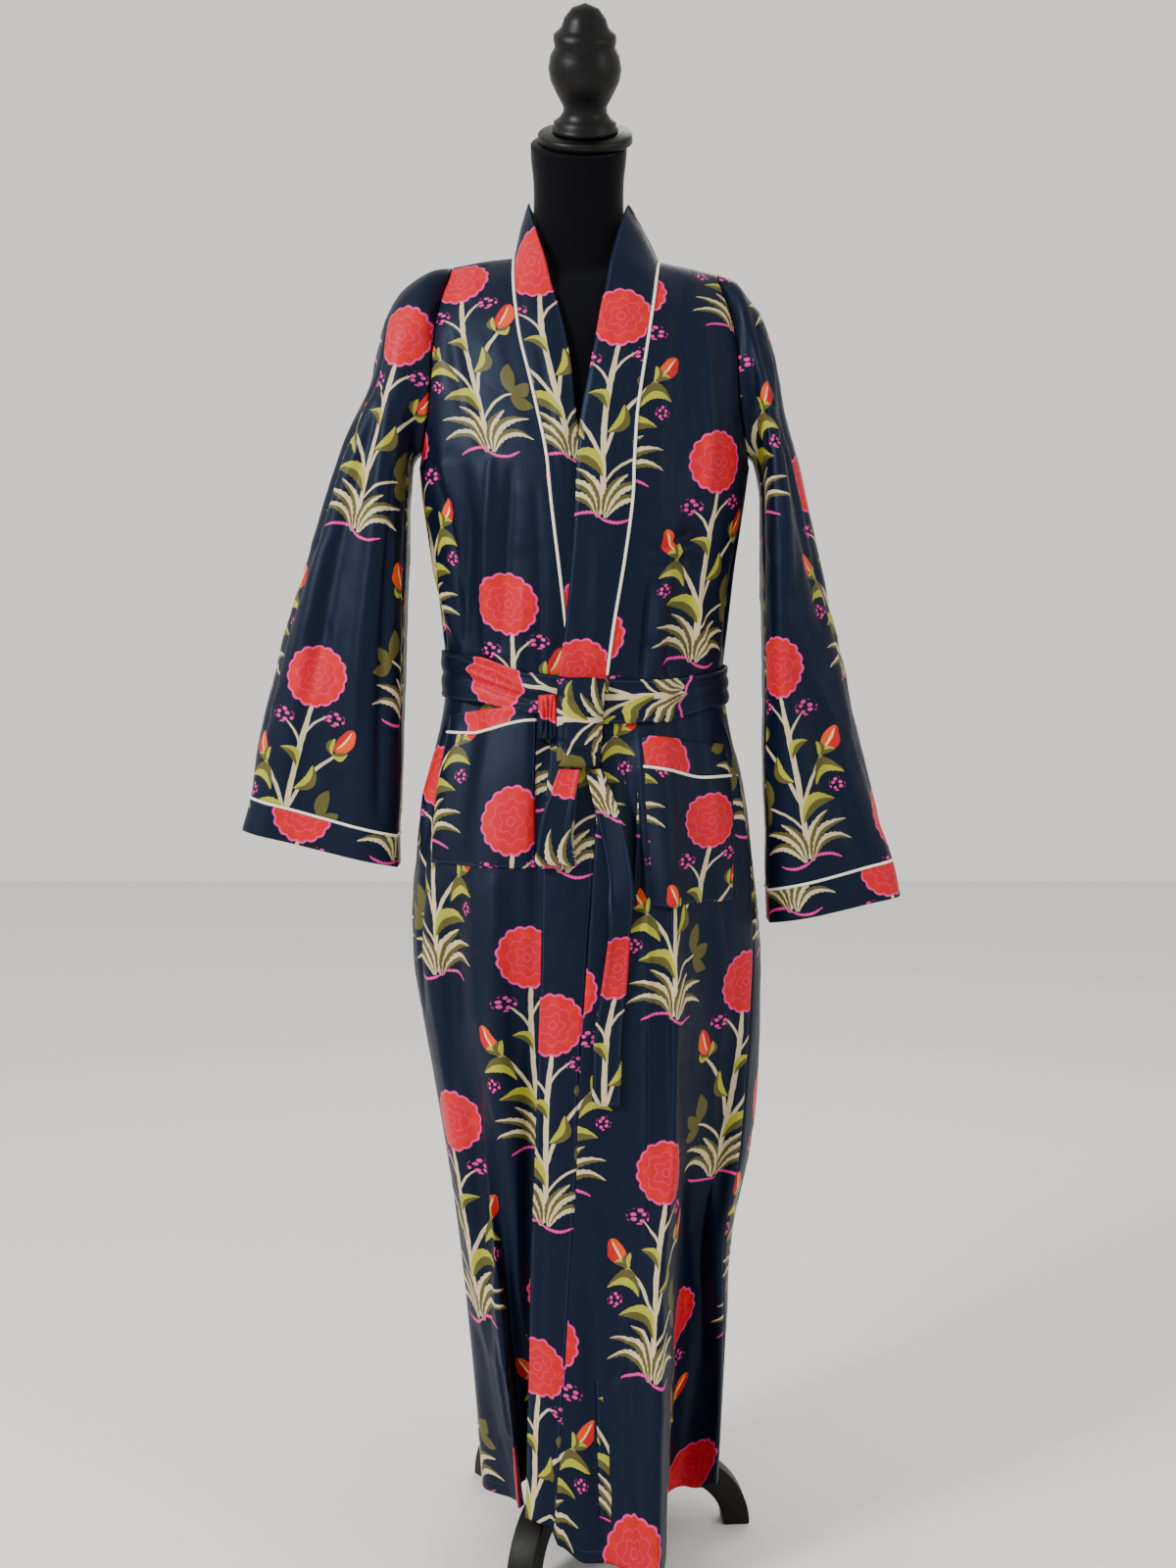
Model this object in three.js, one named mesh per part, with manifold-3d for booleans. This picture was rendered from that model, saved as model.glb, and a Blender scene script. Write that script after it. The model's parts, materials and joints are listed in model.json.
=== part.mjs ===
// A cotton kimono robe worn on a dress form with a turned finial and a three-legged stand.
// Millimetres, +Z up. While it is built, the pole of the stand is at x = 0, y = 0 and the robe's
// front looks along -Y, so +X is on a viewer's right. At the end the whole group is moved so that
// the origin is the bottom centre of its bounding box.
import * as THREE from "three";
import { mergeVertices } from "three/addons/utils/BufferGeometryUtils.js";
import Module from "manifold-3d";

const wasm = await Module();
wasm.setup();

const cloth = { wall: 2, seamGap: 0.3, armholeGap: 0.5, round: 0.85 };
const piping = { halfWidth: 1.35, proud: 0.8, clearance: 1.65, standing: 2.7, neckSpare: 0.5 };
const neckline = { centre: -1.5, half: 77.5, backRows: 2.2, rowLength: 22, fadeRows: 6 };
const shoulder = { drop: 20, reach: 145, power: 1.5, lean: 0.03 };
const hemRow = { level: 36, blendFrom: 330 };
const overlap = { inset: 5, start: 20, full: 3 };
const pocketRows = { inset: 0.7, firstColumn: 2, lastColumn: 10 };
const belt = { clearance: 1.8, columns: 40, puff: 1.5, pipingEnds: 960 };
const lump = { level: 935, lean: 4.9 };
const wrap = {
  x: -7, z: 910.4, angle: 0, width: 50, height: 94, depth: 20, corner: 12, bevel: 5, away: 3,
};
const smallKnot = {
  x: -42, z: 916, angle: -18, width: 17, height: 46, depth: 9, corner: 5, bevel: 3, away: 4.6,
};
const form = { narrow: 0.93, bottom: 830, columns: 22, neckX: -10, neckY: 0, neckSegments: 28 };
const cap = { x: -3, y: 0, z: 1539, radius: 51, thick: 11, tilt: 28, gap: 0.3, cutSize: 300 };
const stand = { x: -8, poleRadius: 14, hubRadius: 19, hubBottom: 45, hubTop: 95 };
const leg = { width: 30, bend: 108, outer: 82, inner: 52, start: 19.3, angles: [5, 128, 250] };

// Rows of the robe's body from the shoulder line down to the hem. left, right, front and back are
// the half sizes of the level's oval. over, overSeam, under and underSeam are the x of the free
// edge and of the band's seam on the upper and the lower front. slope is the share of the
// shoulder's drop, and side is the angle of the side seam, or of the armhole down to the underarm.
const columns = [
  "level", "left", "right", "front", "back",
  "over", "overSeam", "under", "underSeam", "slope", "sideLeft", "sideRight",
];
const bodyRows = [
  [1412, 166, 158, 0, 0, 43, 76, -64, -79, 1, 60, 60],
  [1408, 166, 158, 21, 30, 38, 75.5, -61, -79, 1, 60, 60],
  [1398, 168, 160, 40, 52, 31, 74, -55, -79, 1, 60, 60],
  [1380, 175, 167, 60, 68, 24, 71.5, -45, -78.5, 1, 60, 60],
  [1352, 182, 175, 78, 80, 15, 68, -33, -76, 0.8, 60, 60],
  [1312, 186, 179, 95, 91, 8, 62.5, -23, -70.5, 0.5, 60, 60],
  [1268, 187, 179, 106, 98, 0, 56, -16, -60, 0.2, 61, 61],
  [1232, 184, 176, 111, 101, -7, 51, -12, -52, 0, 66, 66],
  [1203, 182, 174, 115, 103, -10, 49, -8, -45.5, 0, 74, 74],
  [1185, 182, 174, 117, 104, -11.5, 48, -4, -42.5, 0, 83, 83],
  [1177, 182, 174, 118, 104, -12, 47.5, -2, -41.5, 0, 90, 90],
  [1140, 176, 169, 121, 104, -13, 46, 8, -38, 0, 90, 90],
  [1080, 166, 160, 120, 103, -17, 38, 19, -31, 0, 90, 90],
  [1020, 160, 153, 116, 101, -23, 28, 28, -24, 0, 90, 90],
  [985, 156, 149, 112, 99, -27, 23, 31, -20, 0, 90, 90],
  [960, 154, 147, 110, 98, -30, 20, 33, -18, 0, 90, 90],
  [935, 156, 149, 112, 99, -33, 17, 35, -17, 0, 90, 90],
  [898, 162, 155, 118, 103, -38, 14, 37, -15, 0, 90, 90],
  [852, 173, 166, 126, 108, -42, 11, 39, -13, 0, 89, 88],
  [805, 181, 174, 132, 112, -45, 8, 40, -11, 0, 87, 84],
  [760, 186, 179, 138, 115, -47.5, 5, 42, -9, 0, 85, 79],
  [722, 190, 183, 141, 117, -48, 3, 43, -8, 0, 83, 75],
  [680, 191, 187, 144, 118, -48.5, 0, 44, -6, 0, 82, 71],
  [620, 187, 190, 146, 118, -50, -4, 45, -4, 0, 81, 66],
  [530, 172, 188, 148, 118, -53, -10, 46, -2, 0, 80, 63],
  [440, 157, 180, 150, 118, -56, -12, 47, 0, 0, 80, 63],
  [345, 143, 160, 152, 116, -60, -18, 48, 3, 0, 80, 66],
  [235, 133, 155, 156, 112, -61.5, -24, 49, 6, 0, 80, 72],
  [150, 126, 151, 162, 108, -63.5, -29, 50, 9, 0, 80, 78],
  [36, 119, 146, 170, 102, -66, -36, 52, 12, 0, 80, 84],
];
const armholeRows = 10;
const seamFade = 14;
const [frontColumns, backColumns, bandColumns] = [14, 22, 3];

// Height of the hem round the body, by angle from the front's middle towards a viewer's right.
// It rises where the cloth passes over a leg of the stand.
const hem = {
  over: [
    [-24, 76], [-16, 72], [-11.5, 53], [0, 36], [27, 27], [42, 46], [60, 52], [76, 66],
    [92, 88], [112, 66], [140, 48], [180, 46],
  ],
  under: [
    [-180, 46], [-160, 62], [-142, 92], [-118, 78], [-90, 66], [-60, 66], [-40, 74],
    [-25, 90], [-5, 90], [15, 70], [50, 60],
  ],
  back: [
    [60, 52], [76, 66], [92, 88], [112, 66], [140, 48], [180, 46], [197, 60], [206, 92],
    [228, 92], [246, 78], [270, 66], [300, 66],
  ],
};

// Large folds: dx and dy move the cloth most at the angle "at". The move fades to nothing within
// toFront and toSide degrees, and it grows from level top down to level full.
const folds = {
  over: [
    { at: 25, toFront: 30, toSide: 8, dx: 2, dy: -26, top: 900, full: 36, power: 1.3 },
    { at: 47, toFront: 17, toSide: 34, dx: -21, dy: 103, top: 800, full: 36, power: 1.6 },
    { at: 8, toFront: 11, toSide: 12, dx: 0, dy: 7, top: 620, full: 200, power: 1 },
    { at: 38, toFront: 10, toSide: 10, dx: -3, dy: 5, top: 1330, full: 1140, power: 1 },
  ],
  under: [
    { at: -33, toFront: 38, toSide: 11, dx: 0, dy: 70, top: 640, full: 60, power: 1.2 },
    { at: -62, toFront: 28, toSide: 17, dx: 30, dy: 0, top: 330, full: 36, power: 1.2 },
    { at: -45, toFront: 10, toSide: 12, dx: 3, dy: 6, top: 1340, full: 1120, power: 1 },
    { at: -52, toFront: 12, toSide: 12, dx: 4, dy: 8, top: 800, full: 560, power: 1 },
  ],
  back: [
    { at: 118, toFront: 16, toSide: 14, dx: 4, dy: 8, top: 900, full: 300, power: 1 },
    { at: 136, toFront: 13, toSide: 15, dx: -7, dy: -12, top: 880, full: 260, power: 1 },
    { at: 158, toFront: 14, toSide: 13, dx: 2, dy: 10, top: 820, full: 300, power: 1 },
    { at: 177, toFront: 15, toSide: 17, dx: 0, dy: -14, top: 890, full: 250, power: 1 },
    { at: 201, toFront: 14, toSide: 15, dx: -2, dy: 9, top: 800, full: 340, power: 1 },
    { at: 224, toFront: 15, toSide: 14, dx: 7, dy: -9, top: 860, full: 280, power: 1 },
    { at: 246, toFront: 14, toSide: 16, dx: -4, dy: 5, top: 700, full: 300, power: 1 },
    { at: 150, toFront: 14, toSide: 16, dx: 0, dy: -6, top: 1300, full: 1120, power: 1 },
    { at: 208, toFront: 14, toSide: 16, dx: 0, dy: -6, top: 1290, full: 1100, power: 1 },
  ],
};

// Free edge of the band where it stands off the chest and up round the neck, one row for each of
// the first body rows.
const standingEdge = {
  over: [[43, -8, 1461], [38, -26, 1447], [31, -42, 1424], [23.5, -61, 1394]],
  under: [[-64, -8, 1463], [-61, -24, 1449], [-55, -40, 1427], [-45, -60, 1396]],
};
const neckBand = { columns: 14, rows: 3, halfX: 53.5, backY: 56, frontY: -8, top: 1462, backDrop: 12 };

// Sections of the sleeves, by the outer and the inner side seen from the front.
const sleeveColumns = ["outX", "outZ", "inX", "inZ", "depth", "y"];
const sleeveRows = {
  right: [
    [158, 1380, 179, 1184, 60, 0], [172, 1362, 184, 1174, 64, 0], [186, 1343, 187, 1150, 67, 0],
    [199, 1306, 188, 1115, 70, 0], [211, 1246, 188, 1070, 74, -2], [229, 1180, 188, 1015, 75, -4],
    [250, 1088, 189, 950, 71, -6], [267, 1010, 189, 890, 63, -8], [289, 906, 190, 835, 54, -10],
    [312, 817, 190, 780, 46, -11], [333, 758, 189, 724, 40, -12],
  ],
  left: [
    [-166, 1392, -187, 1184, 60, 0], [-188, 1380, -191, 1174, 64, 0], [-206, 1362, -193, 1150, 67, 0],
    [-220, 1330, -194, 1115, 70, 0], [-234, 1275, -194, 1070, 73, -2], [-262, 1213, -194, 1015, 72, -4],
    [-299, 1100, -194, 950, 67, -6], [-331, 990, -195, 890, 60, -8], [-351, 915, -195, 848, 52, -10],
    [-362, 866, -196, 812, 45, -11], [-368, 826, -197, 782, 40, -12],
  ],
};
const foldTurn = 0.4;
// The first ring's normals turn from the body's to the sleeve's own within these radians of the top.
const turnNormals = { from: 1.5, over: 0.8 };
const cuffEnd = { right: [342, 718, 190, 688, 38, -12], left: [-378, 790, -196, 748, 38, -12] };
const sleeveFolds = {
  right: [
    { at: 62, spread: 40, depth: -8, from: 1, full: 5 },
    { at: 118, spread: 34, depth: 6, from: 3, full: 6 },
    { at: 262, spread: 38, depth: -8, from: 2, full: 6 },
  ],
  left: [
    { at: 75, spread: 36, depth: -8, from: 1, full: 5 },
    { at: 128, spread: 32, depth: 6, from: 3, full: 7 },
    { at: 250, spread: 36, depth: -7, from: 2, full: 6 },
  ],
};

// Patch pockets: level of the mouth, of the piping and of the bottom. trim is how far the inner
// and the outer end of the mouth lie below its row, so that it ends under the belt.
const pocketLevels = {
  over: { mouth: 898, piping: 852, bottom: 722, trim: [0.2, 15] },
  under: { mouth: 935, piping: 898, bottom: 760, trim: [6, 19] },
};

// The belt's lower and upper edge round the waist, by angle.
const beltRows = [
  [-180, 934, 983], [-90, 936, 986], [-45, 930, 980], [-16, 918, 962], [0, 908, 956],
  [25, 909, 955], [60, 923, 962], [90, 930, 970], [180, 934, 983],
];
// Middle line, width and turn of the belt's hanging end. lift is its distance from the front.
const tailRows = [
  { x: 6, z: 863.6, width: 18, turn: 0, lift: 9 },
  { x: 22, z: 812, width: 26, turn: -14, lift: 12 },
  { x: 33, z: 752, width: 28, turn: -24, lift: 13 },
  { x: 33, z: 700, width: 25, turn: 26, lift: 12 },
  { x: 28, z: 648, width: 26, turn: 12, lift: 9 },
  { x: 21, z: 590, width: 29, turn: 3, lift: 7 },
  { x: 19, z: 516, width: 30, turn: 0, lift: 7 },
];
// The bow's loop: down on the outside, round the bottom and back up behind.
const loopRows = [
  { x: -19, z: 863.6, width: 22, lift: 16 },
  { x: -32, z: 815, width: 31, lift: 19 },
  { x: -35, z: 782, width: 36, lift: 18 },
  { x: -34, z: 769, width: 42, lift: 16 },
  { x: -33, z: 765, width: 44, lift: 11 },
  { x: -33, z: 769, width: 42, lift: 6 },
  { x: -31, z: 800, width: 33, lift: 5 },
  { x: -19, z: 863.6, width: 22, lift: 7 },
];

// Turned profile of the finial: radius and height above the cap.
const finialProfile = [
  [0, 0.3], [35.5, 0.3], [35.5, 6], [33, 8], [34, 11], [28, 15], [23.5, 22], [23.5, 28],
  [31, 42], [37, 55], [38.9, 67], [36.5, 80], [32, 88], [33.4, 95], [33, 101], [28, 105],
  [25, 108], [22, 117], [14, 127], [0, 132],
];
const neckProfile = [
  [0, 1380], [49, 1380], [49, 1410], [49, 1440], [48.5, 1470], [49.5, 1495], [52, 1515],
  [52, 1580], [0, 1580],
];
// The neck widens sideways into the shoulders.
const neckFlare = { from: 1440, reach: 60, widen: 0.4 };
// Distance of the torso from the robe's outer face on its first rows, then on all the others.
const torsoInsets = [2.6, 4.7, 5.2, 5.2, 5.7, 7.3, 8.8, 10.4, 10.9];

const radians = THREE.MathUtils.degToRad;
const tiny = 1e-6;
const clamp01 = (value) => Math.min(1, Math.max(0, value));
const smooth = (value) => clamp01(value) ** 2 * (3 - 2 * clamp01(value));
const mix = THREE.MathUtils.lerp;

// Value of one column between rows, by a Catmull-Rom curve through the rows.
function sampleRows(rows, column, position) {
  const last = rows.length - 1;
  const t = Math.min(last, Math.max(0, position));
  const k = Math.min(last - 1, Math.floor(t));
  const f = t - k;
  const at = (row) => rows[Math.min(last, Math.max(0, row))][column];
  const [a, b, c, d] = [at(k - 1), at(k), at(k + 1), at(k + 2)];
  const slopeB = (c - a) / 2;
  const slopeC = (d - b) / 2;
  const [f2, f3] = [f * f, f * f * f];
  const values = b * (2 * f3 - 3 * f2 + 1) + c * (3 * f2 - 2 * f3);
  return values + slopeB * (f3 - 2 * f2 + f) + slopeC * (f3 - f2);
}

const bodyValue = (name, t) => sampleRows(bodyRows, columns.indexOf(name), t);

// Value in a table of [key, value, ...] rows, with a soft turn at each row.
function lookUp(rows, key, column = 1) {
  if (key <= rows[0][0]) return rows[0][column];
  for (let i = 1; i < rows.length; i++) {
    if (key <= rows[i][0]) {
      const share = (key - rows[i - 1][0]) / (rows[i][0] - rows[i - 1][0]);
      return mix(rows[i - 1][column], rows[i][column], smooth(share));
    }
  }
  return rows[rows.length - 1][column];
}

// Row position whose level is the given height.
function rowAt(level) {
  for (let k = 1; k < bodyRows.length; k++) {
    const [[above], [below]] = [bodyRows[k - 1], bodyRows[k]];
    if (level >= below) return k - (level - below) / (above - below);
  }
  return bodyRows.length - 1;
}

// Angle on a row where the oval has this x, on the front half.
function angleAt(x, t) {
  const half = x < 0 ? bodyValue("left", t) : bodyValue("right", t);
  return (Math.sign(x) * Math.asin(clamp01(Math.abs(x) / half) ** (1 / cloth.round)) * 180) / Math.PI;
}

// How much a fold moves the cloth here. Folds of a front fade out before its side seam.
function foldShare(fold, angle, level, room) {
  const away = angle - fold.at;
  const towardsFront = fold.at >= 0 ? away < 0 : away > 0;
  const distance = Math.abs(away) / (towardsFront ? fold.toFront : fold.toSide);
  if (distance >= 1) return 0;
  const growth = clamp01((fold.top - level) / (fold.top - fold.full)) ** fold.power;
  return (1 - distance * distance) ** 2 * growth * smooth(room / seamFade);
}

// A point of the robe's outer face: layer "over" or "under" is one of the fronts.
function bodyPoint(layer, angle, t) {
  const level = bodyValue("level", t);
  const sine = Math.sin(radians(angle));
  const cosine = Math.cos(radians(angle));
  const halfX = sine < 0 ? bodyValue("left", t) : bodyValue("right", t);
  const halfY = cosine > 0 ? bodyValue("front", t) : bodyValue("back", t);
  let x = Math.sign(sine) * halfX * Math.abs(sine) ** cloth.round;
  let y = -Math.sign(cosine) * halfY * Math.abs(cosine) ** cloth.round;
  const slope = bodyValue("slope", t);
  const drop = shoulder.drop * (Math.abs(x) / shoulder.reach) ** shoulder.power;
  let z = level - slope * (drop + shoulder.lean * x);
  if (layer === "under") {
    const edge = bodyValue("over", t);
    y += overlap.inset * smooth((x - edge + overlap.start) / (overlap.start - overlap.full));
  }
  const seam = bodyValue(angle < 0 ? "sideLeft" : "sideRight", t);
  const room = layer === "back" ? seamFade : seam - Math.abs(angle);
  for (const fold of folds[layer]) {
    const share = foldShare(fold, angle, level, room);
    x += fold.dx * share;
    y += fold.dy * share;
  }
  if (level < hemRow.blendFrom) {
    const share = (hemRow.blendFrom - level) / (hemRow.blendFrom - hemRow.level);
    z += share * (lookUp(hem[layer], angle) - hemRow.level);
  }
  return new THREE.Vector3(x, y, z);
}

// The outward normal there, from small steps. On the shoulder line it points straight up.
function bodyNormal(layer, angle, t) {
  const step = { angle: 0.6, row: 0.04, first: 0.02 };
  const last = bodyRows.length - 1;
  const row = Math.max(t, step.first);
  const along = bodyPoint(layer, angle + step.angle, row)
    .sub(bodyPoint(layer, angle - step.angle, row));
  const down = bodyPoint(layer, angle, Math.min(last, t + step.row))
    .sub(bodyPoint(layer, angle, Math.max(0, t - step.row)));
  const normal = new THREE.Vector3().crossVectors(down, along).normalize();
  if (t === 0) normal.set(0, 0, 1);
  return normal;
}

const material = (color, roughness, metalness = 0) =>
  new THREE.MeshStandardMaterial({ color, roughness, metalness, side: THREE.FrontSide });

const robe = new THREE.Group();

function addMesh(name, geometry, look) {
  const mesh = new THREE.Mesh(geometry, look);
  mesh.name = name;
  robe.add(mesh);
  return mesh;
}

// Closed solid between two grids of points. Rows run along i and columns along j; the outer grid
// is on the side that the triangles face. A tube is closed on itself along its columns.
function shellGeometry(outer, inner, isTube = false) {
  const rows = outer.length;
  const cols = outer[0].length;
  const positions = [...outer.flat(), ...inner.flat()].flatMap((p) => [p.x, p.y, p.z]);
  const index = (side, i, j) => side * rows * cols + i * cols + (j % cols);
  const faces = [];
  const quad = (a, b, c, d) => faces.push(a, b, c, a, c, d);
  const spans = isTube ? cols : cols - 1;
  for (let i = 0; i < rows - 1; i++) {
    for (let j = 0; j < spans; j++) {
      quad(index(0, i, j), index(0, i + 1, j), index(0, i + 1, j + 1), index(0, i, j + 1));
      quad(index(1, i, j), index(1, i, j + 1), index(1, i + 1, j + 1), index(1, i + 1, j));
    }
  }
  for (let j = 0; j < spans; j++) {
    quad(index(0, 0, j), index(0, 0, j + 1), index(1, 0, j + 1), index(1, 0, j));
    const low = rows - 1;
    quad(index(0, low, j), index(1, low, j), index(1, low, j + 1), index(0, low, j + 1));
  }
  if (!isTube) {
    const end = cols - 1;
    for (let i = 0; i < rows - 1; i++) {
      quad(index(0, i, 0), index(1, i, 0), index(1, i + 1, 0), index(0, i + 1, 0));
      quad(index(0, i, end), index(0, i + 1, end), index(1, i + 1, end), index(1, i, end));
    }
  }
  const geometry = new THREE.BufferGeometry();
  geometry.setAttribute("position", new THREE.Float32BufferAttribute(positions, 3));
  geometry.setIndex(faces);
  geometry.computeVertexNormals();
  return geometry;
}

// Normals of a grid of points, from the differences along its rows and columns.
function gridNormals(grid, isTube = false) {
  const rows = grid.length;
  const cols = grid[0].length;
  return grid.map((row, i) =>
    row.map((_, j) => {
      const before = isTube ? row[(j + cols - 1) % cols] : row[Math.max(0, j - 1)];
      const after = isTube ? row[(j + 1) % cols] : row[Math.min(cols - 1, j + 1)];
      const down = grid[Math.min(rows - 1, i + 1)][j].clone().sub(grid[Math.max(0, i - 1)][j]);
      return down.cross(after.clone().sub(before)).normalize();
    }),
  );
}

const offsetGrid = (grid, normals, distance) =>
  grid.map((row, i) => row.map((point, j) => point.clone().addScaledVector(normals[i][j], distance)));

// Moves the points on one side of a grid inwards along the grid, to leave a seam's gap.
function trimSide(grid, side, amount) {
  const rows = grid.length;
  const cols = grid[0].length;
  const pull = (edge, next, distance) => edge.add(next.clone().sub(edge).setLength(distance));
  if (side === "first" || side === "last") {
    const [edge, next] = side === "first" ? [0, 1] : [cols - 1, cols - 2];
    for (let i = 0; i < rows; i++) {
      pull(grid[i][edge], grid[i][next], typeof amount === "function" ? amount(i) : amount);
    }
  } else {
    const [edge, next] = side === "top" ? [0, 1] : [rows - 1, rows - 2];
    for (let j = 0; j < cols; j++) {
      pull(grid[edge][j], grid[next][j], typeof amount === "function" ? amount(j) : amount);
    }
  }
}

// Both faces of a sheet of the robe: position gives the outer point, direction its normal.
function sheetFaces(rows, cols, pointAt, normalAt, near = -cloth.wall, far = 0) {
  const grid = [];
  const normals = [];
  for (let i = 0; i < rows; i++) {
    grid.push(Array.from({ length: cols }, (_, j) => pointAt(i, j)));
    normals.push(Array.from({ length: cols }, (_, j) => normalAt(i, j)));
  }
  return { outer: offsetGrid(grid, normals, far), inner: offsetGrid(grid, normals, near), grid, normals };
}

function trimSheet(sheet, side, amount) {
  trimSide(sheet.outer, side, amount);
  trimSide(sheet.inner, side, amount);
}

const halfGap = cloth.seamGap / 2;
const beltTopRow = rowAt(belt.pipingEnds);
const bandTrim = (i) => (i <= beltTopRow ? piping.clearance : halfGap);

const fabric = material(0x1c2b44, 0.72);
const pipingLook = material(0xe4dcc6, 0.75);
const velvet = material(0x08090d, 0.95);
const turnedWood = material(0x2b2c2e, 0.45);
const blackWood = material(0x141412, 0.5);

// One front: columns run from the band's seam to the side seam.
const frontSide = {
  over: { sign: 1, edge: "over", seam: "overSeam", side: "sideRight", name: "right" },
  under: { sign: -1, edge: "under", seam: "underSeam", side: "sideLeft", name: "left" },
};

function frontAngle(layer, j, i) {
  const { sign, seam, side } = frontSide[layer];
  return mix(angleAt(bodyValue(seam, i), i), sign * bodyValue(side, i), j / frontColumns);
}

// Faces of a panel look outwards when its columns run towards a viewer's right.
const flipped = (layer, j) => (layer === "under" ? frontColumns - j : j);

function frontPanel(layer) {
  const angle = (i, j) => frontAngle(layer, flipped(layer, j), i);
  const sheet = sheetFaces(
    bodyRows.length,
    frontColumns + 1,
    (i, j) => bodyPoint(layer, angle(i, j), i),
    (i, j) => bodyNormal(layer, angle(i, j), i),
  );
  const [seamSide, sideSide] = layer === "over" ? ["first", "last"] : ["last", "first"];
  trimSheet(sheet, seamSide, bandTrim);
  trimSheet(sheet, sideSide, halfGap);
  trimSheet(sheet, "top", halfGap);
  return sheet;
}

for (const layer of ["over", "under"]) {
  const sheet = frontPanel(layer);
  addMesh(`front_${frontSide[layer].name}`, shellGeometry(sheet.outer, sheet.inner), fabric.clone());
}

// The back: its top edge dips below the shoulder line behind the neck. Down to the underarm the
// side of a panel is the armhole, at the same angle before and behind.
function backAngleAt(i, j) {
  const [right, left] = [bodyValue("sideRight", i), bodyValue("sideLeft", i)];
  const [start, end] = i <= armholeRows ? [180 - right, 180 + left] : [right, 360 - left];
  return mix(start, end, j / backColumns);
}

// Row position of the neckline's seam on the back, or of the back's own edge beside its piping.
function neckDip(angle, beside = 0) {
  const x = bodyPoint("back", angle, 0).x;
  const share = Math.abs(x - neckline.centre) / (neckline.half + beside);
  const depth = neckline.backRows + beside / neckline.rowLength;
  return share < 1 ? depth * Math.sqrt(1 - share * share) : 0;
}
function backRow(i, j) {
  const dip = neckDip(backAngleAt(0, j), piping.clearance + piping.neckSpare);
  return i >= neckline.fadeRows ? i : i + dip * (1 - i / neckline.fadeRows);
}

function backPanel() {
  const sheet = sheetFaces(
    bodyRows.length,
    backColumns + 1,
    (i, j) => bodyPoint("back", backAngleAt(i, j), backRow(i, j)),
    (i, j) => bodyNormal("back", backAngleAt(i, j), backRow(i, j)),
  );
  trimSheet(sheet, "first", halfGap);
  trimSheet(sheet, "last", halfGap);
  trimSheet(sheet, "top", halfGap);
  return sheet;
}
const back = backPanel();
addMesh("back", shellGeometry(back.outer, back.inner), fabric.clone());

// Bands of the two fronts, from the free edge to the seam. Near the neck the free edge stands off.
function bandPoint(layer, share, i) {
  const { edge, seam } = frontSide[layer];
  const seamAngle = angleAt(bodyValue(seam, i), i);
  const standing = standingEdge[layer][i];
  if (!standing) return bodyPoint(layer, mix(seamAngle, angleAt(bodyValue(edge, i), i), share), i);
  return bodyPoint(layer, seamAngle, i).lerp(new THREE.Vector3(...standing), share);
}

function bandPanel(layer) {
  const share = (j) => (layer === "over" ? 1 - j / bandColumns : j / bandColumns);
  const grid = bodyRows.map((_, i) =>
    Array.from({ length: bandColumns + 1 }, (__, j) => bandPoint(layer, share(j), i)),
  );
  const normals = gridNormals(grid);
  const seamColumn = layer === "over" ? bandColumns : 0;
  grid.forEach((row, i) => {
    const own = normals[i][seamColumn];
    if (standingEdge[layer][i]) own.add(seamNormal(layer, i)).normalize();
    else own.copy(seamNormal(layer, i));
  });
  normals[0].forEach((normal) => normal.copy(neckPointNormal(layer)));
  const sheet = { outer: grid, inner: offsetGrid(grid, normals, -cloth.wall) };
  const trim = (i) => (standingEdge[layer][i] ? piping.standing : bandTrim(i));
  trimSheet(sheet, layer === "over" ? "last" : "first", trim);
  trimSheet(sheet, "top", halfGap);
  return sheet;
}

// At the neck points the two fronts' bands meet the neck's band, and all share one normal.
function neckPointNormal(layer) {
  const seam = bodyPoint(layer, angleAt(bodyValue(frontSide[layer].seam, 0), 0), 0);
  const rise = new THREE.Vector3(...standingEdge[layer][0]).sub(seam);
  return new THREE.Vector3(rise.z, 0, -rise.x).multiplyScalar(frontSide[layer].sign).normalize();
}

function seamNormal(layer, i) {
  return bodyNormal(layer, angleAt(bodyValue(frontSide[layer].seam, i), i), i);
}

for (const layer of ["over", "under"]) {
  const sheet = bandPanel(layer);
  addMesh(`band_${frontSide[layer].name}`, shellGeometry(sheet.outer, sheet.inner), fabric.clone());
}

// The band behind the neck, from one neck point round the back to the other.
function neckSeam(share) {
  const [start, end] = ["overSeam", "underSeam"].map((seam) => 180 - angleAt(bodyValue(seam, 0), 0));
  const angle = mix(start, end, share);
  return { angle, t: neckDip(angle) };
}

// Rows run down from the band's top edge, so that its outer face looks away from the neck.
function neckGrid() {
  return Array.from({ length: neckBand.rows + 1 }, (_, i) =>
    Array.from({ length: neckBand.columns + 1 }, (__, j) => {
      const share = j / neckBand.columns;
      const { angle, t } = neckSeam(share);
      const seam = bodyPoint("back", angle, t);
      const turn = Math.PI * share;
      const top = new THREE.Vector3(
        form.neckX + neckBand.halfX * Math.cos(turn),
        mix(neckBand.frontY, neckBand.backY, Math.sin(turn)),
        neckBand.top - neckBand.backDrop * Math.sin(turn),
      );
      return top.lerp(seam, i / neckBand.rows);
    }),
  );
}

const neckOuter = neckGrid();
const neckNormals = gridNormals(neckOuter);
for (const row of neckNormals) {
  row[0].copy(neckPointNormal("over"));
  row[neckBand.columns].copy(neckPointNormal("under"));
}
const neckSheet = { outer: neckOuter, inner: offsetGrid(neckOuter, neckNormals, -cloth.wall) };
trimSheet(neckSheet, "bottom", piping.standing);
trimSheet(neckSheet, "first", halfGap);
trimSheet(neckSheet, "last", halfGap);
addMesh("band_neck", shellGeometry(neckSheet.outer, neckSheet.inner), fabric.clone());

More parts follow.
